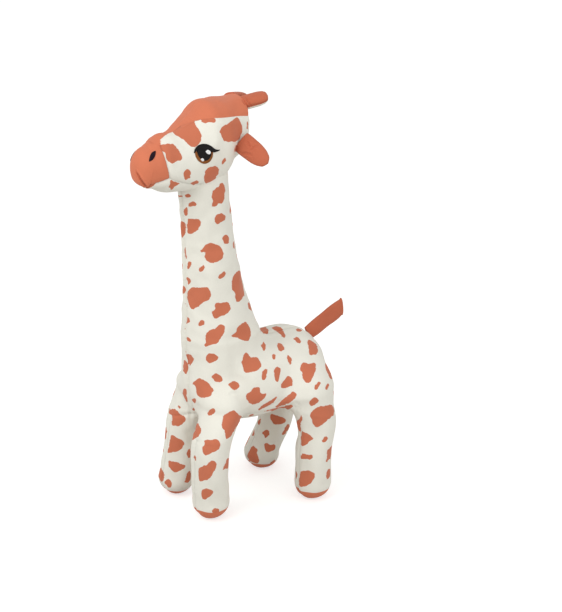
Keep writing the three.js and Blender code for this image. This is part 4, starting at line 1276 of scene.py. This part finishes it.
def new_group(name, sockets):
    """An empty node group with its sockets. Each is a name, INPUT or OUTPUT, and a kind."""
    group = bpy.data.node_groups.new(name, "ShaderNodeTree")
    for socket, way, kind in sockets:
        group.interface.new_socket(socket, in_out=way, socket_type=f"NodeSocket{kind}")
    return group


def knit_group():
    """Color, height, roughness: the colour brightened and darkened by slow noise and dimmed at
    seams as painted shade, a height from small cells and finer noise, and a roughness from the
    finer noise."""
    group = new_group("knit", [
        ("Color", "INPUT", "Color"), ("Tone", "INPUT", "Float"), ("Loops", "INPUT", "Float"),
        ("Color", "OUTPUT", "Color"), ("Height", "OUTPUT", "Float"),
        ("Roughness", "OUTPUT", "Float")])
    given = node(group, "NodeGroupInput").outputs
    slow = noise(group, 45.0, 3.0)
    fine = noise(group, 700.0)
    cells = node(group, "ShaderNodeTexVoronoi",
                 {"Vector": object_place(group), "Scale": given["Loops"]}).outputs["Distance"]
    grain = math_node(group, "MULTIPLY_ADD", fine, 0.5, math_node(group, "SUBTRACT", slow, 0.5))
    amount = math_node(group, "MULTIPLY_ADD", grain, given["Tone"], 1.0)
    seam = node(group, "ShaderNodeAttribute", attribute_name="seam").outputs["Fac"]
    # Painted shade: the colour darkens towards a seam.
    seam_shade = ranged(group, seam, 0.8, 1.0, over=(0.0, 1.1), interpolation_type="SMOOTHSTEP")
    tinted = node(group, "ShaderNodeVectorMath", operation="SCALE")
    wired(group, tinted, {0: given["Color"], "Scale": math_node(group, "MULTIPLY", amount, seam_shade)})
    node(group, "NodeGroupOutput", {
        "Color": tinted.outputs[0],
        "Height": math_node(group, "MULTIPLY_ADD", fine, 0.6, cells),
        "Roughness": ranged(group, fine, 0.78, 0.92)})
    return group


KNIT = knit_group()
print("knit group with", len(KNIT.nodes), "nodes")

# %% [markdown]
# The printed cloth mixes two colours by the spot field. The print bled a little into the knit, so its
# edge wavers by a few tenths of a millimetre. The plain cloth of the muzzle and the crown is a shade
# lighter than the print. The ears, horns and tail get a darker terracotta, which is painted shade.
# Fibres that stand off the knit catch light at the edges, which is the shader's sheen.

# %% Cloth materials
CREAM = (0.80, 0.785, 0.70, 1.0)
TERRACOTTA = (0.65, 0.190, 0.098, 1.0)
PRINTED_TERRACOTTA = (0.57, 0.167, 0.087, 1.0)
# The darker terracotta below is painted shade, for the ears, the horns' tops and the tail.
PAINTED_SHADE_TERRACOTTA = (0.52, 0.135, 0.067, 1.0)


def new_material(name):
    """A new material, its node tree and its shader."""
    material = bpy.data.materials.new(name)
    material.use_nodes = True
    return material, material.node_tree, material.node_tree.nodes["Principled BSDF"]


def dressed(tree, shader, group, strength, depth):
    """The shader with colour, roughness and normals from a group's node. Its height makes bumps
    of a strength and a depth in metres."""
    bump = node(tree, "ShaderNodeBump", {
        "Strength": strength, "Distance": depth, "Height": group.outputs["Height"]})
    wired(tree, shader, {"Base Color": group.outputs["Color"],
                         "Roughness": group.outputs["Roughness"], "Normal": bump.outputs["Normal"]})


def with_spots(tree, base, spots):
    """The base colour, and that of the spots where the spot field, made ragged by fine noise, is
    below the edge."""
    field = node(tree, "ShaderNodeAttribute", attribute_name="spot").outputs["Fac"]
    ragged = math_node(tree, "MULTIPLY_ADD", noise(tree, 420.0, 3.0), 1.6, field)
    edge = ranged(tree, ragged, 1.0, 0.0, over=(0.6, 1.0), interpolation_type="SMOOTHSTEP")
    return node(tree, "ShaderNodeMix", {0: edge, 6: base, 7: spots}, data_type="RGBA").outputs[2]


def cloth_material(name, base, spots=None):
    """Knit in a base colour, with spots of another where the spot field is negative."""
    material, tree, shader = new_material(name)
    wired(tree, shader, {
        "Specular IOR Level": 0.25, "Sheen Weight": 0.12, "Sheen Roughness": 0.45})
    knit = node(tree, "ShaderNodeGroup", node_tree=KNIT)
    wired(tree, knit, {"Color": with_spots(tree, base, spots) if spots else base,
                       "Tone": 0.09, "Loops": 1500.0})
    dressed(tree, shader, knit, 0.35, 0.00025)
    return material


PRINTED = cloth_material("cloth_printed", CREAM, PRINTED_TERRACOTTA)
PLAIN = cloth_material("cloth_terracotta", TERRACOTTA)
# This darker terracotta cloth is painted shade.
PAINTED_SHADE_CLOTH = cloth_material("cloth_painted_shade_terracotta", PAINTED_SHADE_TERRACOTTA)
print("cloth materials:", PRINTED.name, PLAIN.name, PAINTED_SHADE_CLOTH.name)

# %% [markdown]
# Now the body is cut. The legs come off at a level just under the belly, where nothing shows,
# because a leg bends at its own joint.
# The soles are cut from the legs, the gusset from the trunk, and the middle seam parts the rest.

body = {"points": skin_points, "normals": skin_normals, "spot": skin_spots, "seam": skin_seam,
        "triangles": skin_triangles}
lower, trunk = parted(body, lambda points: points[:, 2] - LEG_TOP)
belly, sides = parted(trunk, gusset_field)
right, left = parted(sides, middle_field)

for name, skin in (("side_left", left), ("side_right", right)):
    hand = name.split("_")[1]
    panel = add_piece(name, skin, PRINTED)
    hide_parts(f"torso_side_{hand}", f"neck_side_{hand}",
                "torso_filling" if hand == "left" else "neck_filling")
    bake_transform(panel)

panel = add_piece("belly_panel", belly, PRINTED)
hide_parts("belly_gusset")
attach(panel, "torso")

# %% [markdown]
# Each leg keeps the part of the lower skin on its own corner of the body. Its sole is a cap of
# plain cloth that shows as a crescent above the floor.

# %% Legs and soles
SOLE_EDGE_PX = {
    "front_leg_left": [(197, 510.5), (203, 512), (212, 511.5), (218, 510), (224, 510.5)],
    "front_leg_right": [(163, 487), (170, 491), (180, 490), (187, 486)],
    "rear_leg_left": [(305, 494), (315, 492.5), (322, 489.5)],
    "rear_leg_right": [(256, 464), (264, 464)],
}
LEAST_SOLE = 7.0

for name, keys in LEG_KEYS.items():
    sole_height = max(LEAST_SOLE, met(legs[name], SOLE_EDGE_PX[name])[:, 2].mean())
    x_sign, y_sign = np.sign(keys[-1][1]), np.sign(keys[-1][2])
    middles = lower["points"][lower["triangles"]].mean(1)
    mine = (middles[:, 0] * x_sign > 0) & ((middles[:, 1] - 5) * y_sign > 0)
    leg_skin = compact({**lower, "triangles": lower["triangles"][mine]})
    sole, sleeve = parted(
        leg_skin, lambda points: points[:, 2] - sole_height - 0.5 * waves(points, 14, 61))
    skin = add_piece(f"{name}_skin", sleeve, PRINTED)
    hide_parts(f"{name}_cover", f"{name}_filling")
    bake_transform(skin)
    cap = add_piece(f"{name}_cap", sole, PLAIN)
    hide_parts(f"{name}_sole")
    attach(cap, name)

# %% [markdown]
# The head's panels are cut in the head's own frame, then carried to their place. The muzzle comes
# first, because its seam ends the crown's and the chin's.

# %% The head's panels
head = {"points": head_points, "normals": head_normals, "spot": head_spots, "seam": head_seam,
        "triangles": head_triangles}
muzzle, rest = parted(head, muzzle_field)
crown, rest = parted(rest, crown_field)
chin, cheeks = parted(rest, chin_field)
cheek_right, cheek_left = parted(cheeks, middle_field)
for name, skin, material, slot, stands_for in (
        ("muzzle_panel", muzzle, PLAIN, "terracotta_knit", ["muzzle"]),
        ("crown_panel", crown, PLAIN, "terracotta_knit", ["crown", "head_filling"]),
        ("chin_panel", chin, PRINTED, "printed_knit", ["chin_gusset"]),
        ("cheek_panel_left", cheek_left, PRINTED, "printed_knit", ["cheek_left"]),
        ("cheek_panel_right", cheek_right, PRINTED, "printed_knit", ["cheek_right"])):
    panel = add_piece(name, skin, material, in_head=True)
    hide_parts(*stands_for)
    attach(panel, "head")

# %% [markdown]
# Ears, horns and tail are flat pieces of two layers, turned and lightly stuffed. Each is a grid:
# one way from root to tip, the other round its edge. Its thickness falls to the edge seam, and the
# ear curls over its length. Such a piece has no hinge: its cloth bends over the first millimetres.


def flat_piece(root, tip, broad, half_width, half_thickness, lengths, cup=0.0, curl=0.0,
               rows=70, around=72, power=2.0, edge=1.25):
    """Points of a flat sewn piece, their distances from its edge seam and the direction across
    it. At a share u of its length and an angle v, the point is the middle line at u, plus cos v
    times the half width along broad, plus sin v times the half thickness across. power says how
    square it is, and edge how thin its edges are. cup lifts the edges and curl the tip, both as
    the square of the distance."""
    aim = tip - root
    broad = broad - aim * (broad @ aim) / (aim @ aim)
    broad = broad / np.linalg.norm(broad)
    across = np.cross(aim, broad)
    across = across / np.linalg.norm(across)
    u = np.linspace(0, 1, rows)[:, None]
    v = np.linspace(0, 2 * np.pi, around, endpoint=False)[None]
    profile = smooth_rows(np.array(lengths, float), u[:, 0])
    wide = (profile[:, 1] * half_width)[:, None]
    thick = (profile[:, 2] * half_thickness)[:, None]
    cos, sin = np.cos(v), np.sin(v)
    out = np.sign(cos) * np.abs(cos) ** (2 / power) * wide
    up = np.sign(sin) * np.abs(sin) ** edge * thick
    lift = cup * (out / half_width) ** 2 + curl * u**2
    points = (root + u[..., None] * aim + out[..., None] * broad
              + (up + lift)[..., None] * across)
    return points, np.abs(up), across


def closed_skin(points, seam):
    """A closed grid as a skin: its end rows shrink to poles, and normals are measured."""
    poles = np.stack([points[0].mean(0), points[-1].mean(0)])
    flat, triangles = closed_grid(points, poles)
    seam = np.concatenate([seam.ravel(), [1.0, 1.0]])
    volume = (flat[triangles[:, 0]] * np.cross(flat[triangles[:, 1]], flat[triangles[:, 2]])).sum()
    if volume < 0:
        triangles = triangles[:, ::-1]
    return {"points": flat, "normals": normals_of(flat, triangles), "seam": seam,
            "triangles": triangles}


def turned_to_toy(vector, side=1):
    """A direction in the head's frame, mirrored for the right side, as one in the toy's frame."""
    vector = np.array(vector, float) * [side, 1, 1]
    return (vector / np.linalg.norm(vector)) @ head_axes


def creased_px(skin, lines, depth, width):
    """Creases a skin along lines of pixels: each pixel stands for the point that shows there."""
    pixels, _ = seen(skin["points"])
    hidden = HIDDEN_PX * (facing(skin["points"], skin["normals"]) < 0)
    for line in lines:
        nearest = [int(np.argmin(np.linalg.norm(pixels - pixel, axis=1) + hidden)) for pixel in line]
        skin["points"] = skin["points"] + creased(
            skin["points"], skin["normals"], skin["points"][nearest], depth, width)
    skin["normals"] = normals_of(skin["points"], skin["triangles"])


def lumpy(skin, across, height, length, seed):
    """Moves a skin across by smooth noise, and measures its normals again."""
    skin["points"] = skin["points"] + lumps(skin["points"], across, height, length, seed)
    skin["normals"] = normals_of(skin["points"], skin["triangles"])


def bends(piece):
    """The piece's place is baked into its mesh."""
    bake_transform(piece)


EAR_LENGTH = 34.5
EAR_HALF_WIDTH = 9.6
EAR_HALF_THICKNESS = 2.3
EAR_AIM = [0.917, 0.10, -0.36]
EAR_TILT = math.radians(14)
EAR_LIFT = 1.3
EAR_PROFILE = [[0, 1.0, 0.9], [0.12, 1.02, 1.0], [0.35, 1.0, 1.0], [0.62, 0.93, 0.95],
               [0.82, 0.72, 0.85], [0.94, 0.43, 0.6], [1.0, 0.04, 0.05]]
EAR_CREASES_PX = [[(239.5, 153), (244, 153), (248.5, 153.8), (253, 156)],
                  [(246, 140), (248, 144), (250, 147.5), (251.5, 149)],
                  [(249, 151), (252, 149), (255, 147), (258, 144)]]
for side, hand in ((1, "left"), (-1, "right")):
    joint = f"ear_{hand}_bend"
    root = joint_place(joint) + [0, 0, EAR_LIFT]
    aim = turned_to_toy(EAR_AIM, side)
    broad = np.array(joints[joint]["axis"])
    lean = np.cross(aim, broad) * np.sign(np.cross(aim, broad)[2])
    broad = math.cos(EAR_TILT) * broad + math.sin(EAR_TILT) * lean * np.sign(broad[2])
    points, seam, across = flat_piece(
        root, root + EAR_LENGTH * aim, broad, EAR_HALF_WIDTH, EAR_HALF_THICKNESS, EAR_PROFILE,
        cup=-1.4, curl=-2.0, power=2.2, rows=110, around=110)
    skin = closed_skin(points, seam)
    lumpy(skin, across, 0.25, 12, 70 + side)
    if hand == "left":
        creased_px(skin, EAR_CREASES_PX, 0.8, 0.9)
    # The ear's darker terracotta is painted shade.
    ear = add_piece(f"ear_{hand}", skin, PAINTED_SHADE_CLOTH, thickness=0)
    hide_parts(f"ear_{hand}_front", f"ear_{hand}_back")
    bends(ear)

# %% [markdown]
# A horn is a short flat tube of two cloths: terracotta on top, cream below. It is made as one flat
# piece, fuller than the ear because it is stuffed, and then cut in two at its seam, which lies a
# little below the edge. The left one's cloth shows pleats where it goes into the crown.

# %% Horns
HORN_PROFILE = [[0, 0.9, 0.85], [0.2, 0.96, 0.92], [0.5, 1.0, 1.0], [0.75, 0.98, 0.97],
                [0.9, 0.8, 0.8], [0.97, 0.5, 0.5], [1.0, 0.05, 0.08]]
HORN_AIMS = {"left": [0.47, 0.868, 0.19], "right": [0.4, 0.9, -0.27]}
HORN_WRAP = (1.0, 1.6)
PLEATS_PX = [[(241.5, 97), (244, 101), (246.8, 105), (248, 108)],
             [(244.5, 96.5), (247, 100), (249.6, 104), (251, 107)]]
HORN_LENGTH = 20.5
HORN_HALF_WIDTH = 7.5
HORN_HALF_THICKNESS = 4.8
HORN_INSIDE = 6.0
HORN_FULL = (0.2, 0.5)
for side, hand in ((1, "left"), (-1, "right")):
    joint = f"horn_{hand}_bend"
    root = joint_place(joint)
    aim = turned_to_toy(HORN_AIMS[hand], side)
    broad = np.array(joints[joint]["axis"])
    points, seam, across = flat_piece(
        root - HORN_INSIDE * aim, root + HORN_LENGTH * aim, broad, HORN_HALF_WIDTH,
        HORN_HALF_THICKNESS, HORN_PROFILE, edge=1.0)
    across = across * np.sign(across[2])

    def from_root(points, at_tip, more_at_root):
        """A value that grows evenly from the tip to the root."""
        return at_tip + more_at_root * np.clip(1 - (points - root) @ aim / HORN_LENGTH, 0, 1)

    below = np.minimum((points - root) @ across, 0)
    points = points + (from_root(points, *HORN_FULL) * below)[..., None] * across
    skin = closed_skin(points, seam)
    if hand == "left":
        creased_px(skin, PLEATS_PX, 0.8, 0.8)

    def below_seam(points):
        """Negative below the seam, which lies further down towards the root."""
        return (points - root) @ across + from_root(points, *HORN_WRAP)

    low, top = parted(skin, below_seam)
    # The horn's top gets the darker terracotta, which is painted shade.
    for name, half, material, slot in (("top", top, PAINTED_SHADE_CLOTH, "terracotta_knit"),
                                       ("underside", low, PRINTED, "printed_knit")):
        half["spot"] = np.full(len(half["points"]), FAR_OFF)
        horn = add_piece(f"horn_{hand}_{name}_cloth", half, material, thickness=0.8)
        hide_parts(f"horn_{hand}_{name}")
        bends(horn)

# %% [markdown]
# The tail is a flat strap with a square end, folded from one strip and sewn into the back seam. Its
# end is cut at a slant, so the length grows across its width.

# %% Tail
TAIL_LENGTH = 41.5
TAIL_HALF_WIDTH = 8.7
TAIL_HALF_THICKNESS = 1.9
TAIL_INSIDE = 4.0
TAIL_SLANT = 3.2
TAIL_LIFT = 1.9
TAIL_PROFILE = [[0, 0.9, 0.9], [0.1, 0.96, 1.0], [0.5, 1.0, 1.0], [0.93, 0.98, 1.0],
                [0.985, 0.9, 0.8], [1.0, 0.6, 0.15]]
aim = np.array([0, 0.9, 0.436])
broad = np.array([0, -0.436, 0.9])
root = joint_place("tail_bend") + TAIL_LIFT * broad
points, seam, across = flat_piece(root - TAIL_INSIDE * aim, root + TAIL_LENGTH * aim, broad,
                                  TAIL_HALF_WIDTH, TAIL_HALF_THICKNESS, TAIL_PROFILE, power=4.0)
out = (points - root) @ broad / TAIL_HALF_WIDTH
share = np.clip((points - root) @ aim / TAIL_LENGTH, 0, 1)
points = points + (TAIL_SLANT * out * share**3)[..., None] * aim
skin = closed_skin(points, seam)
lumpy(skin, across, 0.5, 22, 80)
# The tail's darker terracotta is painted shade.
tail = add_piece("tail_strap", skin, PAINTED_SHADE_CLOTH, thickness=0)
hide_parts("tail")
bends(tail)

# %% [markdown]
# Eyes and nostrils are satin stitch: threads laid side by side from one edge of a field to the
# other, so that the field stands up like a low cushion. Each field is a grid between an upper and a
# lower edge, read from the photograph. Its points are carried along the camera's lines to the head,
# and ridges as wide as a thread run across it. The right eye is the left one's mirror image.

# %% Embroidery
STITCH_ROWS = 180
STITCH_STEPS = 15
THREAD_WIDTH = 0.42
THREAD_RIDGE = 0.12
STITCH_FOOT = 0.05


def edge_curve(places, count):
    """count points on a smooth curve through places, evenly spaced along it."""
    places = np.array(places, float)
    length = np.concatenate([[0], np.cumsum(np.linalg.norm(np.diff(places, axis=0), axis=1))])
    rows = smooth_rows(np.column_stack([length, places]), np.linspace(0, length[-1], count))
    return rows[:, 1:]


def skin_move(points):
    """How far the head's skin has moved from its form near some points: the mean of the moves
    about each point, weighted by a bell curve of 0.8 mm."""
    near = np.linalg.norm(head_rest - points.mean(0), axis=1) < 18
    return spread(points, head_rest[near], head_moves[near], width=0.8)


def satin(upper, lower, side, rise, lift, slip=(0, 0, 0)):
    """A field of satin stitch. Its points run between the upper and the lower edge, and stand off
    the head by lift plus rise times the square root of a parabola, with a ridge per thread. slip
    moves the field over the head."""
    t = np.linspace(0, 1, STITCH_STEPS)[None, :, None]
    top, low = (edge_curve(edge, STITCH_ROWS)[:, None] for edge in (upper, lower))
    pixels = top + (low - top) * t
    points = settle(head_form, on_head(pixels) * [side, 1, 1] + slip)
    slope = slope_of(head_form, points).reshape(STITCH_ROWS, STITCH_STEPS, 3)
    points = (points + skin_move(points)).reshape(STITCH_ROWS, STITCH_STEPS, 3)
    normal = slope / np.linalg.norm(slope, axis=-1, keepdims=True)
    length = np.linalg.norm(np.diff(top[:, 0], axis=0), axis=1).sum() * PX_MM
    s = np.linspace(0, 1, STITCH_ROWS)[:, None]
    ridge = np.abs(np.sin(np.pi * s * length / THREAD_WIDTH))
    dome = np.sqrt(np.clip(1 - (2 * t[..., 0] - 1) ** 2, 0, 1)) * np.clip(12 * s * (1 - s), 0, 1)
    height = lift + dome * (rise + THREAD_RIDGE * ridge)
    top_face = points + normal * height[..., None]
    base = points + normal * STITCH_FOOT
    loop = np.concatenate([top_face, base[:, ::-1]], axis=1)
    return closed_skin(loop, np.full(loop.shape[:2], FAR_OFF))


def thread_group():
    """Color, roughness, height: noise as fine as fibres mixes a darker colour in, and gives the
    shine and the height their grain."""
    group = new_group("thread", [
        ("Color", "INPUT", "Color"), ("Color", "OUTPUT", "Color"),
        ("Roughness", "OUTPUT", "Float"), ("Height", "OUTPUT", "Float")])
    given = node(group, "NodeGroupInput").outputs
    grain = noise(group, 2200.0)
    tinted = node(group, "ShaderNodeVectorMath", operation="SCALE")
    wired(group, tinted, {0: given["Color"], "Scale": ranged(group, grain, 0.75, 1.1)})
    node(group, "NodeGroupOutput", {
        "Color": tinted.outputs[0], "Roughness": ranged(group, grain, 0.35, 0.6), "Height": grain})
    return group


THREAD = thread_group()


def thread_material(name, color):
    """Embroidery thread in a colour: the thread group on a slightly glossy surface."""
    material, tree, shader = new_material(name)
    shader.inputs["Specular IOR Level"].default_value = 0.12
    thread = node(tree, "ShaderNodeGroup", node_tree=THREAD)
    thread.inputs["Color"].default_value = (*color, 1.0)
    dressed(tree, shader, thread, 0.4, 0.0001)
    return material


BLACK = thread_material("thread_black", (0.006, 0.005, 0.005))
BROWN = thread_material("thread_brown", (0.25, 0.085, 0.018))
WHITE = thread_material("thread_white", (0.9, 0.9, 0.9))
DARK = thread_material("thread_dark", (0.012, 0.004, 0.01))
print("threads:", BLACK.name, BROWN.name, WHITE.name, DARK.name)

# %% [markdown]
# The black field is lid, lash and pupil in one. It is made of two fields that overlap under the
# same thread: the lid with its lash, and the pupil. The iris is a crescent under the pupil, and two
# white glints lie on the black.

# %% Eyes and nostrils
IRIS_UPPER_PX = [(198.6, 151.3), (199.8, 155.6), (201.8, 158.4), (204.3, 159.4), (206.8, 158.4),
                 (208.8, 155.6), (209.6, 151.3)]
IRIS_LOWER_PX = [(194.6, 151.3), (195.6, 156.8), (198.8, 161.4), (204, 163.5), (208.9, 161.6),
                 (211.9, 157), (212.8, 151.3)]
PUPIL_UPPER_PX = [(196.5, 150.5), (199.5, 147.2), (204, 146.4), (208.5, 147.4), (211.2, 150.5)]
PUPIL_LOWER_PX = [(196.7, 152.4), (197.9, 156.6), (200.4, 159.9), (204, 161.6), (207.8, 160.1),
                  (210.2, 156.6), (211, 152.4)]
LID_UPPER_PX = [(193.8, 153), (194.8, 149), (198, 145.4), (202, 143.9), (207, 144.1), (211, 145.9),
                (214.3, 148.6), (217, 149.6), (219.6, 149.6)]
LID_LOWER_PX = [(194.3, 153.2), (196.2, 151), (199, 149.5), (203, 149.5), (207, 149.6),
                (210.5, 151.2), (213, 152.2), (216, 151.6), (219.6, 150.2)]
GLINT_UPPER_PX = [(205.1, 151.2), (207, 149.8), (209.3, 150.8), (209.9, 152.2)]
GLINT_LOWER_PX = [(205.3, 152), (206.8, 153.6), (208.8, 153.9), (209.8, 152.6)]
SPARK_UPPER_PX = [(200, 158.8), (201.5, 157.8), (203, 158.6), (203.3, 159.4)]
SPARK_LOWER_PX = [(200.2, 159.3), (201.2, 160.6), (202.7, 160.6), (203.2, 159.8)]
NOSTRIL_SLIPS = {"left": (0, 0, 0), "right": (0, -3.0, -5.0)}
NOSTRIL_UPPER_PX = [(155.8, 151), (152.3, 152.6), (149.9, 156.6), (148.9, 161)]
NOSTRIL_LOWER_PX = [(156, 151.8), (155.2, 155.8), (152.9, 159.6), (149.4, 161.8)]

for side, hand in ((1, "left"), (-1, "right")):
    for name, upper, lower, material, slot, node_name, rise, lift in (
            ("iris", IRIS_UPPER_PX, IRIS_LOWER_PX, BROWN, "brown_thread", "iris", 0.5, 0.3),
            ("pupil", PUPIL_UPPER_PX, PUPIL_LOWER_PX, BLACK, "black_thread", None, 0.7, 0.4),
            ("lid", LID_UPPER_PX, LID_LOWER_PX, BLACK, "black_thread", "lid_and_pupil", 0.8, 0.5),
            ("glint", GLINT_UPPER_PX, GLINT_LOWER_PX, WHITE, "white_thread", "large_glint", 0.4, 1.25),
            ("spark", SPARK_UPPER_PX, SPARK_LOWER_PX, WHITE, "white_thread", "small_glint", 0.35, 1.1)):
        field = add_piece(f"eye_{hand}_{name}_stitch", satin(upper, lower, side, rise, lift),
                          material, thickness=0, in_head=True)
        if node_name:
            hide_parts(f"eye_{hand}_{node_name}")
        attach(field, "head")
    field = add_piece(f"nostril_{hand}_stitch",
                      satin(NOSTRIL_UPPER_PX, NOSTRIL_LOWER_PX, side, 0.4, 0.25, NOSTRIL_SLIPS[hand]),
                      DARK, thickness=0, in_head=True)
    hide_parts(f"nostril_{hand}")
    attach(field, "head")

# %% [markdown]
# The studio is plain: a pale floor, a soft lamp in front of the toy, above the camera and to its
# left, a larger one of about the same power to its right, and a pale sky. The floor reads as white
# to the camera by its own material, so the lamps stay at a level that leaves the cloth's colours as
# they are.

# %% Floor and light
def seen_straight(tree):
    """One where a ray comes from the camera, a mirror or glass, and zero where light bounces."""
    path = node(tree, "ShaderNodeLightPath").outputs
    total = math_node(tree, "ADD", path["Is Camera Ray"], path["Is Glossy Ray"])
    return math_node(tree, "ADD", total, path["Is Transmission Ray"], use_clamp=True)


def floor_material():
    """Grey paper to the light, with a glow that only the camera and reflections see."""
    material, tree, shader = new_material("floor_paper")
    glow = math_node(tree, "MULTIPLY", seen_straight(tree), 0.62)
    wired(tree, shader, {"Base Color": (0.58, 0.57, 0.55, 1), "Roughness": 0.9,
                         "Emission Color": (1, 1, 1, 1), "Emission Strength": glow})
    return material


FLOOR_HALF = 6.0
FLOOR_SIGNS = [(-1, -1), (1, -1), (1, 1), (-1, 1)]
floor_mesh = bpy.data.meshes.new("floor")
floor_mesh.from_pydata([(FLOOR_HALF * x, FLOOR_HALF * y, 0) for x, y in FLOOR_SIGNS], [],
                       [(0, 1, 2, 3)])
floor = bpy.data.objects.new("floor", floor_mesh)
bpy.context.collection.objects.link(floor)
floor_mesh.materials.append(floor_material())


SKY_LEVEL = 0.66
LAMP_AIM = np.array([0, 0, 0.2])
LAMPS = {"key": ((0.15, -1.25, 1.2), 1.1, 11), "fill": ((1.9, 0.4, 0.8), 1.8, 11.5)}


def lamp(name, place, size, power):
    """A square area lamp that looks at the toy's middle."""
    light = bpy.data.lights.new(name, "AREA")
    light.size = size
    light.energy = power
    holder = bpy.data.objects.new(name, light)
    bpy.context.collection.objects.link(holder)
    away = np.array(place) - LAMP_AIM
    away /= np.linalg.norm(away)
    side = np.cross([0, 0, 1], away)
    side /= np.linalg.norm(side)
    turn = np.eye(4)
    turn[:3, :3] = np.stack([side, np.cross(away, side), away], axis=1)
    turn[:3, 3] = place
    holder.matrix_world = turn.T


for name, values in LAMPS.items():
    lamp(name, *values)
world = bpy.context.scene.world or bpy.data.worlds.new("world")
bpy.context.scene.world = world
world.use_nodes = True
sky = world.node_tree
wired(sky, sky.nodes["Background"], {
    "Color": (1, 1, 1, 1), "Strength": ranged(sky, seen_straight(sky), SKY_LEVEL, 1.0)})
bpy.context.scene.view_settings.view_transform = "Standard"
print("lamps:", *LAMPS)
